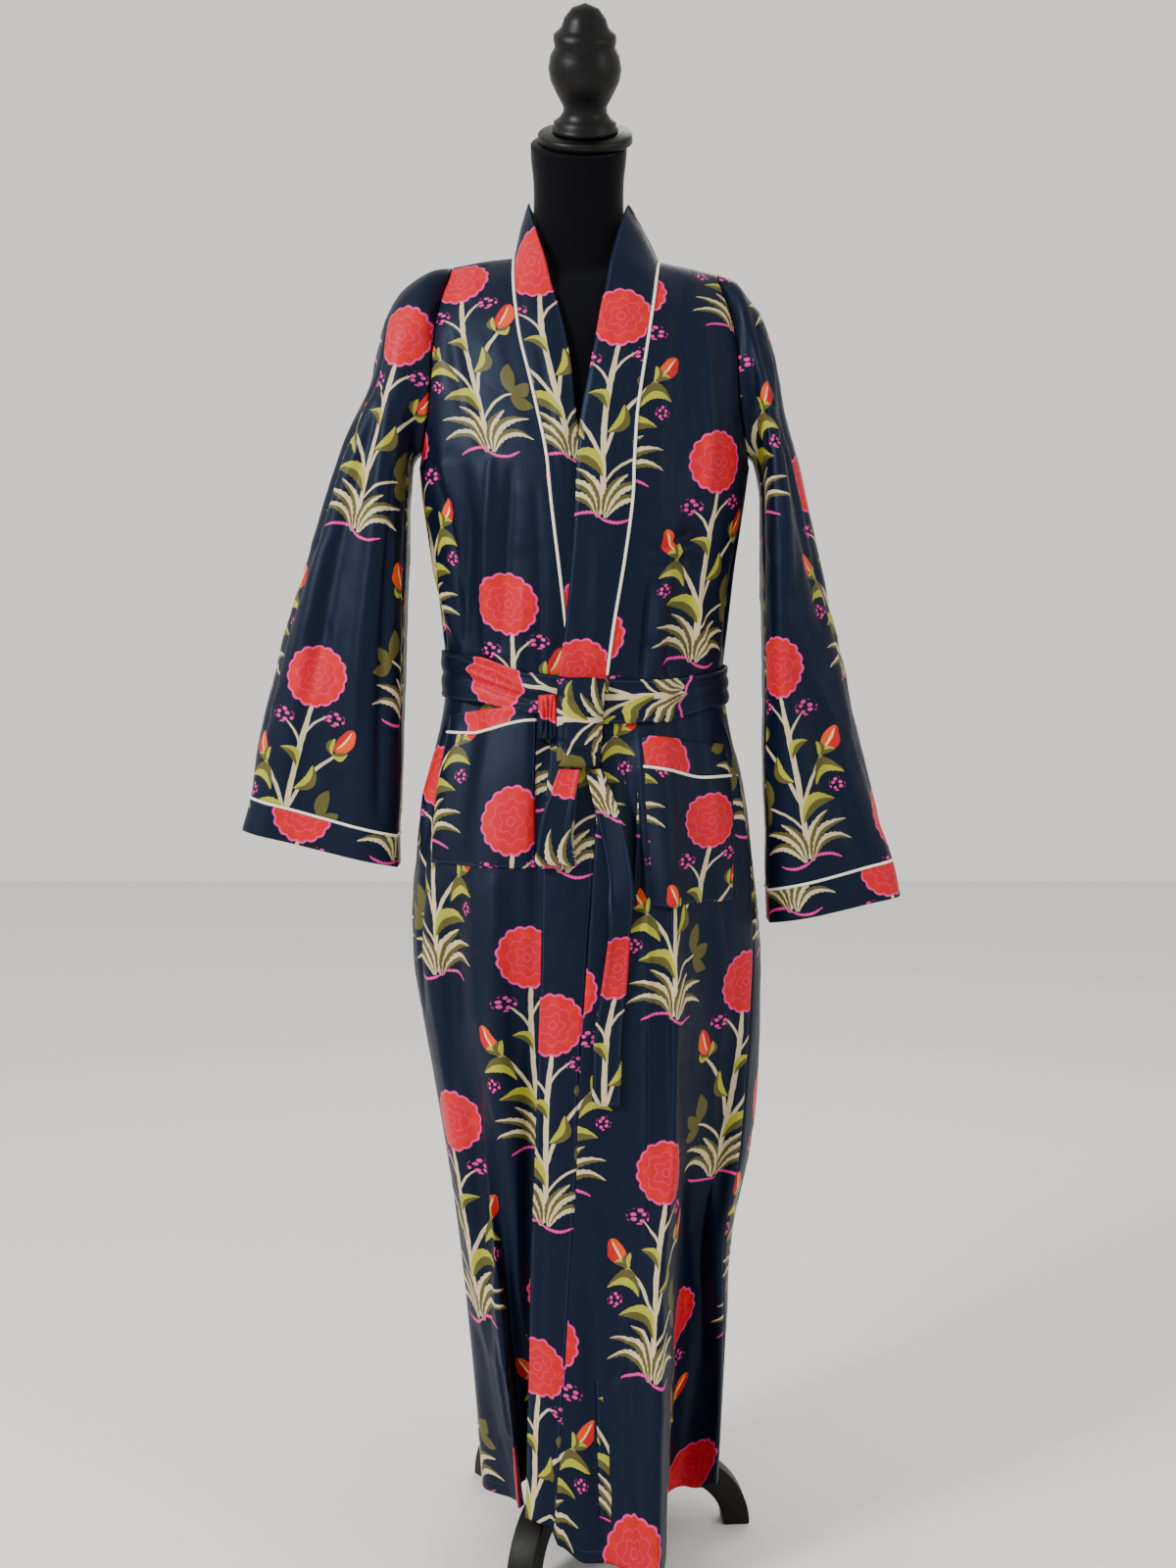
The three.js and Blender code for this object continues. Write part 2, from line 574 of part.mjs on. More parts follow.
// Faces of a thin strip along a seam: stations give its middle point, normal and the way across.
function stripFaces(stations, low, high) {
  const outer = [[], []];
  const inner = [[], []];
  for (const { point, normal, across } of stations) {
    [-1, 1].forEach((side, row) => {
      const edge = point.clone().addScaledVector(across, side * piping.halfWidth);
      outer[row].push(edge.clone().addScaledVector(normal, high));
      inner[row].push(edge.addScaledVector(normal, low));
    });
  }
  return { outer, inner };
}

function bandPiping(layer) {
  const stations = [];
  for (let i = 0; i <= beltTopRow; i++) {
    const angle = angleAt(bodyValue(frontSide[layer].seam, i), i);
    const point = bodyPoint(layer, angle, i);
    const beside = bodyPoint(layer, angle + frontSide[layer].sign, i);
    const across = beside.sub(point).multiplyScalar(-frontSide[layer].sign).normalize();
    stations.push({ point, normal: bodyNormal(layer, angle, i), across });
  }
  const { outer, inner } = stripFaces(stations, -cloth.wall, piping.proud);
  trimSheet({ outer, inner }, "first", halfGap);
  addMesh(`piping_band_${frontSide[layer].name}`, shellGeometry(outer, inner), pipingLook.clone());
}
bandPiping("over");
bandPiping("under");

function neckPiping() {
  const stations = Array.from({ length: neckBand.columns + 1 }, (_, j) => {
    const { angle, t } = neckSeam(j / neckBand.columns);
    const point = bodyPoint("back", angle, t);
    const normal = bodyNormal("back", angle, t);
    const inward = new THREE.Vector3(form.neckX, form.neckY, point.z).sub(point);
    return { point, normal, across: inward.projectOnPlane(normal).normalize().negate() };
  });
  const { outer, inner } = stripFaces(stations, -cloth.wall, piping.proud);
  trimSheet({ outer, inner }, "first", halfGap);
  trimSheet({ outer, inner }, "last", halfGap);
  addMesh("piping_neck", shellGeometry(outer, inner), pipingLook.clone());
}
neckPiping();

// Sleeves: a tube of sections whose first ring is the armhole, moved off by the seam's gap.
function armholeRing(sign) {
  const layer = sign > 0 ? "over" : "under";
  const side = sign > 0 ? "sideRight" : "sideLeft";
  const withinAngle = 8;
  const ring = [];
  const add = (name, i, angle, toward) => {
    const point = bodyPoint(name, angle, i);
    const normal = bodyNormal(name, angle, i);
    const within = bodyPoint(name, angle - withinAngle * toward, i + 1);
    ring.push({ point, normal, within });
  };
  for (let i = 0; i <= armholeRows; i++) add(layer, i, sign * bodyValue(side, i), sign);
  for (let i = armholeRows - 1; i > 0; i--) add("back", i, 180 - sign * bodyValue(side, i), -sign);
  const count = ring.length;
  return ring.map(({ point, normal, within }, j) => {
    const edge = ring[(j + 1) % count].point.clone().sub(ring[(j + count - 1) % count].point);
    const away = new THREE.Vector3().crossVectors(edge, normal).normalize();
    if (away.dot(point.clone().sub(within)) < 0) away.negate();
    return { point, normal, away };
  });
}

function sleeveSection(row, angles, sign, side, k) {
  const value = Object.fromEntries(sleeveColumns.map((name, i) => [name, row[i]]));
  const outside = new THREE.Vector3(value.outX, value.y, value.outZ);
  const middle = outside.clone().lerp(new THREE.Vector3(value.inX, value.y, value.inZ), 0.5);
  const half = outside.sub(middle);
  return angles.map((angle) => {
    const cosine = Math.cos(angle);
    const sine = Math.sin(angle);
    let bulge = 0;
    for (const fold of sleeveFolds[side]) {
      const away = Math.abs((angle * 180) / Math.PI - fold.at) / fold.spread;
      const growth = smooth((k - fold.from) / (fold.full - fold.from));
      if (away < 1) bulge += fold.depth * (1 - away * away) ** 2 * growth;
    }
    const reach = Math.sign(cosine) * Math.abs(cosine) ** cloth.round;
    const point = middle.clone().addScaledVector(half, reach);
    point.y -= Math.sign(sine) * value.depth * Math.abs(sine) ** cloth.round;
    return point.addScaledVector(new THREE.Vector3(cosine * sign * foldTurn, -sine, 0), bulge);
  });
}

// Angles of the armhole's points round the sleeve, from the shoulder over the front.
function sleeveAngles(ring) {
  const centreZ = (ring[0].point.z + ring[armholeRows].point.z) / 2;
  const halfZ = (ring[0].point.z - ring[armholeRows].point.z) / 2;
  const halfY = Math.max(...ring.map(({ point }) => Math.abs(point.y)));
  return ring.map(({ point }) => {
    const angle = Math.atan2(-point.y / halfY, (point.z - centreZ) / halfZ);
    return angle < -tiny ? angle + 2 * Math.PI : Math.max(angle, 0);
  });
}

function sleeve(side, sign) {
  const ring = armholeRing(sign);
  const angles = sleeveAngles(ring);
  const sections = sleeveRows[side].map((row, k) => sleeveSection(row, angles, sign, side, k));
  const first = ring.map(({ point, away }) => point.clone().addScaledVector(away, cloth.armholeGap));
  // Columns run so that the tube's triangles face outwards on either side of the body.
  const order = (row) => (sign > 0 ? [...row].reverse() : row);
  const grid = [first, ...sections].map(order);
  const normals = gridNormals(grid, true);
  const turned = (angle) => Math.PI - Math.abs(angle - Math.PI) - turnNormals.from;
  const ownShare = order(angles.map((angle) => smooth(turned(angle) / turnNormals.over)));
  order(ring).forEach(({ normal }, j) => normals[0][j].lerp(normal, 1 - ownShare[j]).normalize());
  const end = sleeveSection(cuffEnd[side], angles, sign, side, sleeveRows[side].length);
  return { grid, normals, end: order(end) };
}

for (const [side, sign] of [["right", 1], ["left", -1]]) {
  const { grid, normals, end } = sleeve(side, sign);
  const tube = { outer: offsetGrid(grid, normals, 0), inner: offsetGrid(grid, normals, -cloth.wall) };
  const lastRow = grid.length - 1;
  const seamPoints = grid[lastRow].map((p) => p.clone());
  const seamNormals = normals[lastRow];
  trimSheet(tube, "bottom", piping.clearance);
  addMesh(`sleeve_${side}`, shellGeometry(tube.outer, tube.inner, true), fabric.clone());

  const along = seamPoints.map((p, j) => end[j].clone().sub(p).normalize());
  const pipeRows = [-1, 1].map((way) =>
    seamPoints.map((p, j) => p.clone().addScaledVector(along[j], way * piping.halfWidth)),
  );
  const pipeNormals = [seamNormals, seamNormals];
  const pipe = {
    outer: offsetGrid(pipeRows, pipeNormals, piping.proud),
    inner: offsetGrid(pipeRows, pipeNormals, -cloth.wall),
  };
  addMesh(`piping_cuff_${side}`, shellGeometry(pipe.outer, pipe.inner, true), pipingLook.clone());

  const cuffRows = [0, 0.5, 1].map((share) => seamPoints.map((p, j) => p.clone().lerp(end[j], share)));
  const cuffNormals = cuffRows.map(() => seamNormals);
  const cuff = {
    outer: offsetGrid(cuffRows, cuffNormals, 0),
    inner: offsetGrid(cuffRows, cuffNormals, -cloth.wall),
  };
  trimSheet(cuff, "top", piping.clearance);
  addMesh(`cuff_${side}`, shellGeometry(cuff.outer, cuff.inner, true), fabric.clone());
}

// Patch pockets lie on the fronts, on the fronts' own rows and columns: a sheet, then the piping,
// then the band at the mouth.
function pocketSheet(layer, fromLevel, toLevel) {
  const { firstColumn, lastColumn, inset } = pocketRows;
  const [top, bottom] = [rowAt(fromLevel), rowAt(toLevel)].map(Math.round);
  const start = layer === "over" ? firstColumn : frontColumns - lastColumn;
  const angle = (i, j) => frontAngle(layer, flipped(layer, start + j), top + i);
  return sheetFaces(
    bottom - top + 1,
    lastColumn - firstColumn + 1,
    (i, j) => bodyPoint(layer, angle(i, j), top + i),
    (i, j) => bodyNormal(layer, angle(i, j), top + i),
    inset,
    inset + cloth.wall,
  );
}

for (const layer of ["over", "under"]) {
  const { firstColumn, lastColumn } = pocketRows;
  const { mouth, piping: seam, bottom, trim } = pocketLevels[layer];
  const side = frontSide[layer].name;
  const bag = pocketSheet(layer, seam, bottom);
  const band = pocketSheet(layer, mouth, seam);
  const seamRow = bag.grid[0].map((point, j) => ({
    point,
    normal: bag.normals[0][j],
    across: bag.grid[1][j].clone().sub(bag.grid[0][j]).projectOnPlane(bag.normals[0][j]).normalize(),
  }));
  const strip = stripFaces(seamRow, pocketRows.inset, pocketRows.inset + cloth.wall + piping.proud);
  trimSheet(bag, "top", piping.clearance);
  trimSheet(band, "bottom", piping.clearance);
  trimSheet(band, "top", (j) => mix(...trim, j / (lastColumn - firstColumn)));
  addMesh(`pocket_${side}`, shellGeometry(bag.outer, bag.inner), fabric.clone());
  addMesh(`piping_pocket_${side}`, shellGeometry(strip.outer, strip.inner), pipingLook.clone());
  addMesh(`pocket_band_${side}`, shellGeometry(band.outer, band.inner), fabric.clone());
}

// The belt goes once round the waist, over the fronts and the back.
function beltSurface(angle, level, distance) {
  const t = rowAt(level);
  const layer = Math.abs(angle) >= 90 ? "back" : "over";
  const at = layer === "back" ? (angle + 360) % 360 : angle;
  return bodyPoint(layer, at, t).addScaledVector(bodyNormal(layer, at, t), distance);
}
function beltGrid(distance) {
  const share = { top: 1, middle: 0.5, bottom: 0 };
  return Object.values(share).map((rise) =>
    Array.from({ length: belt.columns }, (_, j) => {
      const angle = -180 + (360 * j) / belt.columns;
      const level = mix(lookUp(beltRows, angle, 1), lookUp(beltRows, angle, 2), rise);
      return beltSurface(angle, level, distance + (rise === share.middle ? belt.puff : 0));
    }),
  );
}
const beltInner = beltGrid(belt.clearance);
const beltOuter = beltGrid(belt.clearance + cloth.wall);
addMesh("belt_waist", shellGeometry(beltOuter, beltInner, true), fabric.clone());

// A slab with rounded corners and edges that leans against the belt at one angle.
function beltLump({ x, z, angle, width, height, depth, corner, bevel, away }) {
  const shape = new THREE.Shape();
  const [w, h] = [width / 2 - bevel, height / 2 - bevel];
  shape.moveTo(-w + corner, -h);
  shape.absarc(w - corner, -h + corner, corner, -Math.PI / 2, 0);
  shape.absarc(w - corner, h - corner, corner, 0, Math.PI / 2);
  shape.absarc(-w + corner, h - corner, corner, Math.PI / 2, Math.PI);
  shape.absarc(-w + corner, -h + corner, corner, Math.PI, 1.5 * Math.PI);
  const geometry = new THREE.ExtrudeGeometry(shape, {
    depth: depth - 2 * bevel,
    bevelThickness: bevel,
    bevelSize: bevel,
    bevelSegments: 1,
    curveSegments: 3,
  });
  const beltFace = beltSurface(angle, lump.level, belt.clearance + cloth.wall + belt.puff).y;
  geometry.rotateX(Math.PI / 2).translate(0, -bevel, 0).rotateX(-radians(lump.lean));
  return geometry.translate(x, beltFace - cloth.seamGap - away, z);
}
addMesh("belt_wrap", beltLump(wrap), fabric.clone());
addMesh("belt_knot", beltLump(smallKnot), fabric.clone());

// Distance of the robe's front face from the pole's plane at a point of the front.
const frontY = (x, z) => bodyPoint("over", angleAt(x, rowAt(z)), rowAt(z)).y;

// A ribbon along rows of middle points; turn is degrees about its own length.
function ribbonGeometry(rows) {
  const grid = rows.map(({ x, z, width, lift, turn = 0 }) => {
    const middle = new THREE.Vector3(x, frontY(x, z) - lift, z);
    const half = new THREE.Vector3(Math.cos(radians(turn)), Math.sin(radians(turn)), 0);
    return [-1, 0, 1].map((way) => middle.clone().addScaledVector(half, (way * width) / 2));
  });
  const normals = gridNormals(grid);
  return shellGeometry(grid, offsetGrid(grid, normals, -cloth.wall));
}
addMesh("belt_tail", ribbonGeometry(tailRows), fabric.clone());
addMesh("belt_loop", ribbonGeometry(loopRows), fabric.clone());

// A mesh as a solid of the boolean library, and back.
function toSolid(geometry) {
  const bare = geometry.clone();
  bare.deleteAttribute("normal");
  bare.deleteAttribute("uv");
  const merged = mergeVertices(bare, 1e-3);
  return new wasm.Manifold(new wasm.Mesh({
    numProp: 3,
    vertProperties: new Float32Array(merged.attributes.position.array),
    triVerts: new Uint32Array(merged.index.array),
  }));
}
function toGeometry(solid) {
  const mesh = solid.getMesh();
  const geometry = new THREE.BufferGeometry();
  geometry.setAttribute("position", new THREE.BufferAttribute(mesh.vertProperties, 3));
  geometry.setIndex(new THREE.BufferAttribute(mesh.triVerts, 1));
  geometry.computeVertexNormals();
  return geometry;
}

// The torso of the dress form follows the robe's body from the inside: close at the shoulders,
// where it carries the cloth, and smaller below.
function torsoGeometry() {
  const lastRow = rowAt(form.bottom);
  const rowPositions = [];
  for (let t = 0; t < lastRow; t++) rowPositions.push(t);
  rowPositions.push(lastRow);
  const grid = rowPositions.map((t, i) =>
    Array.from({ length: form.columns }, (_, j) => {
      const angle = ((j + 0.5) * 360) / form.columns - 180;
      const toFront = Math.min(Math.abs(angle), 180 - Math.abs(angle));
      const folded = t === 0 ? Math.sign(angle) * toFront : angle;
      const layer = Math.abs(angle) > 90 ? "back" : "over";
      const at = layer === "back" ? (folded + 360) % 360 : folded;
      const inset = torsoInsets[Math.min(i, torsoInsets.length - 1)];
      const point = bodyPoint(layer, at, t).addScaledVector(bodyNormal(layer, at, t), -inset);
      point.x *= form.narrow;
      if (t === lastRow) point.z = form.bottom;
      return point;
    }),
  );
  return cappedTube(grid);
}

// A tube of rings closed by a fan at its lower end. The first ring folds flat onto a line.
function cappedTube(grid) {
  const cols = grid[0].length;
  const positions = grid.flat().flatMap((p) => [p.x, p.y, p.z]);
  const faces = [];
  for (let i = 0; i < grid.length - 1; i++) {
    for (let j = 0; j < cols; j++) {
      const k = (j + 1) % cols;
      const [a, b, c, d] = [i * cols + j, (i + 1) * cols + j, (i + 1) * cols + k, i * cols + k];
      faces.push(a, b, c, a, c, d);
    }
  }
  const lastRing = grid[grid.length - 1];
  const centre = lastRing.reduce((sum, p) => sum.add(p), new THREE.Vector3()).divideScalar(cols);
  positions.push(centre.x, centre.y, centre.z);
  for (let j = 0; j < cols; j++) {
    const start = (grid.length - 1) * cols;
    faces.push(start + j, grid.length * cols, start + ((j + 1) % cols));
  }
  const geometry = new THREE.BufferGeometry();
  geometry.setAttribute("position", new THREE.Float32BufferAttribute(positions, 3));
  geometry.setIndex(faces);
  return geometry;
}

const axisTilt = radians(cap.tilt);
// Turns a piece made on the Z axis onto the tilted axis of the cap.
function onCap(geometry, height) {
  const middle = new THREE.Vector3(0, -Math.sin(axisTilt), Math.cos(axisTilt))
    .multiplyScalar(height)
    .add(new THREE.Vector3(cap.x, cap.y, cap.z));
  return geometry.rotateX(axisTilt).translate(...middle.toArray());
}

const lathe = (profile, segments) =>
  new THREE.LatheGeometry(profile.map(([r, z]) => new THREE.Vector2(r, z)), segments).rotateX(Math.PI / 2);

const neckGeometry = lathe(neckProfile, form.neckSegments);
const neckPoints = neckGeometry.attributes.position;
for (let i = 0; i < neckPoints.count; i++) {
  const below = Math.max(0, neckFlare.from - neckPoints.getZ(i)) / neckFlare.reach;
  neckPoints.setX(i, neckPoints.getX(i) * (1 + neckFlare.widen * below * below));
}
const neck = toSolid(neckGeometry.translate(form.neckX, form.neckY, 0));
const block = new THREE.BoxGeometry(cap.cutSize, cap.cutSize, cap.cutSize);
const above = toSolid(onCap(block, cap.cutSize / 2 - cap.thick - cap.gap));
const torso = toSolid(torsoGeometry());
addMesh("form_torso", toGeometry(torso.add(neck.subtract(above))), velvet.clone());

// An upright cylinder with its middle at the origin.
const cylinder = (radius, height, segments) =>
  new THREE.CylinderGeometry(radius, radius, height, segments).rotateX(Math.PI / 2);
addMesh("neck_cap", onCap(cylinder(cap.radius, cap.thick, 32), -cap.thick / 2), turnedWood.clone());
addMesh("finial", onCap(lathe(finialProfile, 20), 0), turnedWood.clone());

// The stand: a pole, the hub at its foot and three curved legs.
function addPost(name, radius, bottom, top) {
  const geometry = cylinder(radius, top - bottom, 24).translate(stand.x, 0, (bottom + top) / 2);
  addMesh(name, geometry, blackWood.clone());
}
addPost("pole", stand.poleRadius, stand.hubTop + cloth.seamGap, form.bottom - cloth.seamGap);
addPost("hub", stand.hubRadius, stand.hubBottom, stand.hubTop);

function legGeometry() {
  const profile = new THREE.Shape();
  profile.moveTo(leg.start, leg.inner).lineTo(leg.bend, leg.inner);
  profile.absarc(leg.bend, 0, leg.inner, Math.PI / 2, 0, true);
  profile.lineTo(leg.bend + leg.outer, 0);
  profile.absarc(leg.bend, 0, leg.outer, 0, Math.PI / 2, false);
  profile.lineTo(leg.start, leg.outer);
  const options = { depth: leg.width, bevelEnabled: false, curveSegments: 10 };
  const geometry = new THREE.ExtrudeGeometry(profile, options);
  return geometry.translate(0, 0, -leg.width / 2).rotateX(Math.PI / 2);
}
leg.angles.forEach((angle, i) => {
  const mesh = addMesh(`leg_${i + 1}`, legGeometry(), blackWood.clone());
  mesh.position.x = stand.x;
  mesh.rotation.z = radians(angle);
});

// The origin is the bottom centre of the whole part's bounding box.
robe.updateMatrixWorld(true);
const bounds = new THREE.Box3().setFromObject(robe, true);
const middle = bounds.getCenter(new THREE.Vector3());
robe.position.set(-middle.x, -middle.y, -bounds.min.z);

export default robe;
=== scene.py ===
import json
import math

import bmesh
import bpy
import numpy as np
from mathutils import Matrix, Vector

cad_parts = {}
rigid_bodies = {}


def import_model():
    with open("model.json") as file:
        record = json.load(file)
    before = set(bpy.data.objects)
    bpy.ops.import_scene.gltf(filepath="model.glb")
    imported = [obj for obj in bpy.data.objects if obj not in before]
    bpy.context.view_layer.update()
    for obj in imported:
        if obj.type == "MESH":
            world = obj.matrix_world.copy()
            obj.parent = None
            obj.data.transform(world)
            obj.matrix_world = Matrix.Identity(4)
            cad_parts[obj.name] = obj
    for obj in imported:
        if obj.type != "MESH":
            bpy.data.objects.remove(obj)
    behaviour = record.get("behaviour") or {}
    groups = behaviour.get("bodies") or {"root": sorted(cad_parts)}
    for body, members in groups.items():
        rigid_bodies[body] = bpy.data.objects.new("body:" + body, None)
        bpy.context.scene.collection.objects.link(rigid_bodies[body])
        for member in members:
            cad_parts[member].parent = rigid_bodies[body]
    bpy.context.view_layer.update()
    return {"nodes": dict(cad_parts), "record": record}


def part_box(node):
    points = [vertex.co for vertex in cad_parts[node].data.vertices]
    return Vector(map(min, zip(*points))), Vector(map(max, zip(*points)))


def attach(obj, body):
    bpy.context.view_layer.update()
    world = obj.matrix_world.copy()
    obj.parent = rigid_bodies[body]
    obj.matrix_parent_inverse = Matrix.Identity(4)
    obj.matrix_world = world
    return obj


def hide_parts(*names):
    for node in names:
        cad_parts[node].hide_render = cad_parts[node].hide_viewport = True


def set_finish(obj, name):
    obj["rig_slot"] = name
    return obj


# A cotton robe on a dress form. The robe's tables are in metres, in the robe's own place, where the
# form's pole stands at poleX. shift brings them to the frame's place.
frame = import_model()
poleX = -.008
poleLow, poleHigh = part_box("pole")
poleMiddle = (poleLow + poleHigh) / 2
shift = np.array([poleMiddle.x - poleX, poleMiddle.y, 0])

print("surfaces")
robe = {"cloth": .0007, "round": .85, "shoulderDrop": .02, "shoulderReach": .145, "shoulderLean": .03,
        "hemLevel": .036, "hemFrom": .33, "underInset": .005, "armholeRow": 10, "seamFade": 14,
        "spacing": .005, "neckCentre": -.0015, "neckHalf": .0775, "neckRows": 2.2, "neckFadeRows": 6}

# Rows from the shoulder line to the hem: half sizes of the oval, x of the bands' free edges and
# seams, share of the shoulder's slope, and the angle of the side seam or of the armhole.
bodyColumns = ["level", "left", "right", "front", "back", "over", "overSeam", "under", "underSeam",
               "slope", "sideLeft", "sideRight"]
bodyRows = [
    [1.412, .166, .158, 0, 0, .043, .076, -.064, -.079, 1, 60, 60],
    [1.408, .166, .158, .021, .03, .038, .0755, -.061, -.079, 1, 60, 60],
    [1.398, .168, .16, .04, .052, .031, .074, -.055, -.079, 1, 60, 60],
    [1.38, .175, .167, .06, .068, .024, .0715, -.045, -.0785, 1, 60, 60],
    [1.352, .182, .175, .078, .08, .015, .068, -.033, -.076, .8, 60, 60],
    [1.312, .186, .179, .095, .091, .008, .0625, -.023, -.0705, .5, 60, 60],
    [1.268, .187, .179, .106, .098, 0, .056, -.016, -.06, .2, 61, 61],
    [1.232, .184, .176, .111, .101, -.007, .051, -.012, -.052, 0, 66, 66],
    [1.203, .182, .174, .115, .103, -.01, .049, -.008, -.0455, 0, 74, 74],
    [1.185, .182, .174, .117, .104, -.0115, .048, -.004, -.0425, 0, 83, 83],
    [1.177, .182, .174, .118, .104, -.012, .0475, -.002, -.0415, 0, 90, 90],
    [1.14, .176, .169, .121, .104, -.013, .046, .008, -.038, 0, 90, 90],
    [1.08, .166, .16, .12, .103, -.017, .038, .019, -.031, 0, 90, 90],
    [1.02, .16, .153, .116, .101, -.023, .028, .028, -.024, 0, 90, 90],
    [.985, .156, .149, .112, .099, -.027, .023, .031, -.02, 0, 90, 90],
    [.96, .154, .147, .11, .098, -.03, .02, .033, -.018, 0, 90, 90],
    [.935, .156, .149, .112, .099, -.033, .017, .035, -.017, 0, 90, 90],
    [.898, .162, .155, .118, .103, -.038, .014, .037, -.015, 0, 90, 90],
    [.852, .173, .166, .126, .108, -.042, .011, .039, -.013, 0, 89, 88],
    [.805, .181, .174, .132, .112, -.045, .008, .04, -.011, 0, 87, 84],
    [.76, .186, .179, .138, .115, -.0475, .005, .042, -.009, 0, 85, 79],
    [.722, .19, .183, .141, .117, -.048, .003, .043, -.008, 0, 83, 75],
    [.68, .191, .187, .144, .118, -.0485, 0, .044, -.006, 0, 82, 71],
    [.62, .187, .19, .146, .118, -.05, -.004, .045, -.004, 0, 81, 66],
    [.53, .172, .188, .148, .118, -.053, -.01, .046, -.002, 0, 80, 63],
    [.44, .157, .18, .15, .118, -.056, -.012, .047, 0, 0, 80, 63],
    [.345, .143, .16, .152, .116, -.06, -.018, .048, .003, 0, 80, 66],
    [.235, .133, .155, .156, .112, -.0615, -.024, .049, .006, 0, 80, 72],
    [.15, .126, .151, .162, .108, -.0635, -.029, .05, .009, 0, 80, 78],
    [.036, .119, .146, .17, .102, -.066, -.036, .052, .012, 0, 80, 84],
]
lastRow = len(bodyRows) - 1

# Height of the hem by angle. It rises where the cloth passes over a leg of the stand.
hem = {
    "over": [(-24, .076), (-16, .072), (-11.5, .053), (0, .036), (27, .027), (42, .046), (60, .052),
             (76, .066), (92, .088), (112, .066), (140, .048), (180, .046)],
    "under": [(-180, .046), (-160, .062), (-142, .092), (-118, .078), (-90, .066), (-60, .066),
              (-40, .074), (-25, .09), (-5, .09), (15, .07), (50, .06)],
    "back": [(60, .052), (76, .066), (92, .088), (112, .066), (140, .048), (180, .046), (197, .06),
             (206, .092), (228, .092), (246, .078), (270, .066), (300, .066)],
}

# Large folds: angle, reach to the front, reach to the side, move in x, move in y, level where it
# starts, level where it is full, power of its growth.
folds = {
    "over": [
        (25, 30, 8, .002, -.026, .9, .036, 1.3),
        (47, 17, 34, -.021, .103, .8, .036, 1.6),
        (8, 11, 12, 0, .007, .62, .2, 1),
        (38, 10, 10, -.003, .005, 1.33, 1.14, 1),
        (25, 10, 4, 0, -.015, .93, .74, 1),
    ],
    "under": [
        (-33, 38, 11, 0, .07, .64, .06, 1.2),
        (-62, 28, 17, .03, 0, .33, .036, 1.2),
        (-45, 10, 12, .003, .006, 1.34, 1.12, 1),
        (-52, 12, 12, .004, .008, .8, .56, 1),
        (-17, 10, 12, 0, .018, .87, .5, 1),
    ],
    "back": [
        (118, 16, 14, .004, .008, .9, .3, 1),
        (136, 13, 15, -.007, -.012, .88, .26, 1),
        (158, 14, 13, .002, .01, .82, .3, 1),
        (177, 15, 17, 0, -.014, .89, .25, 1),
        (201, 14, 15, -.002, .009, .8, .34, 1),
        (224, 15, 14, .007, -.009, .86, .28, 1),
        (246, 14, 16, -.004, .005, .7, .3, 1),
        (150, 14, 16, 0, -.006, 1.3, 1.12, 1),
        (208, 14, 16, 0, -.006, 1.29, 1.1, 1),
    ],
}


slotOf = {part["node"]: part["material_slot"] for part in frame["record"]["subparts"]}


def smooth(value):
    share = np.clip(value, 0, 1)
    return share * share * (3 - 2 * share)


def curveThrough(values, position):  # a smooth curve through evenly spaced values or points
    values = np.asarray(values, float)
    last = len(values) - 1
    t = np.clip(position, 0, last)
    k = np.minimum(np.floor(t).astype(int), last - 1)
    f = (t - k).reshape(np.shape(t) + (1,) * (values.ndim - 1))
    before, start, end, after = (values[np.clip(k + step, 0, last)] for step in (-1, 0, 1, 2))
    straight = start * (2 * f**3 - 3 * f**2 + 1) + end * (3 * f**2 - 2 * f**3)
    return straight + (end - before) / 2 * (f**3 - 2 * f**2 + f) + (after - start) / 2 * (f**3 - f**2)


def bodyValue(name, t):
    column = bodyColumns.index(name)
    return curveThrough([row[column] for row in bodyRows], t)


def softSteps(table, key):  # value of a (key, value) table, with a soft turn at each entry
    keys, values = np.array(table).T
    k = np.clip(np.searchsorted(keys, key) - 1, 0, len(keys) - 2)
    share = smooth((key - keys[k]) / (keys[k + 1] - keys[k]))
    return values[k] + (values[k + 1] - values[k]) * share


def rowAt(level):
    levels = [row[0] for row in bodyRows][::-1]
    return np.interp(level, levels, np.arange(lastRow, -1, -1))


def angleAt(x, t):  # the angle on the front half where the oval has this x
    half = np.where(x < 0, bodyValue("left", t), bodyValue("right", t))
    share = np.clip(np.abs(x) / half, 0, 1) ** (1 / robe["round"])
    return np.degrees(np.sign(x) * np.arcsin(share))


def foldShare(fold, angle, level, room):
    at, toFront, toSide, _, _, top, full, power = fold
    away = angle - at
    towardsFront = away < 0 if at >= 0 else away > 0
    distance = np.abs(away) / np.where(towardsFront, toFront, toSide)
    growth = np.clip((top - level) / (top - full), 0, 1) ** power
    return np.clip(1 - distance**2, 0, 1) ** 2 * growth * smooth(room / robe["seamFade"])


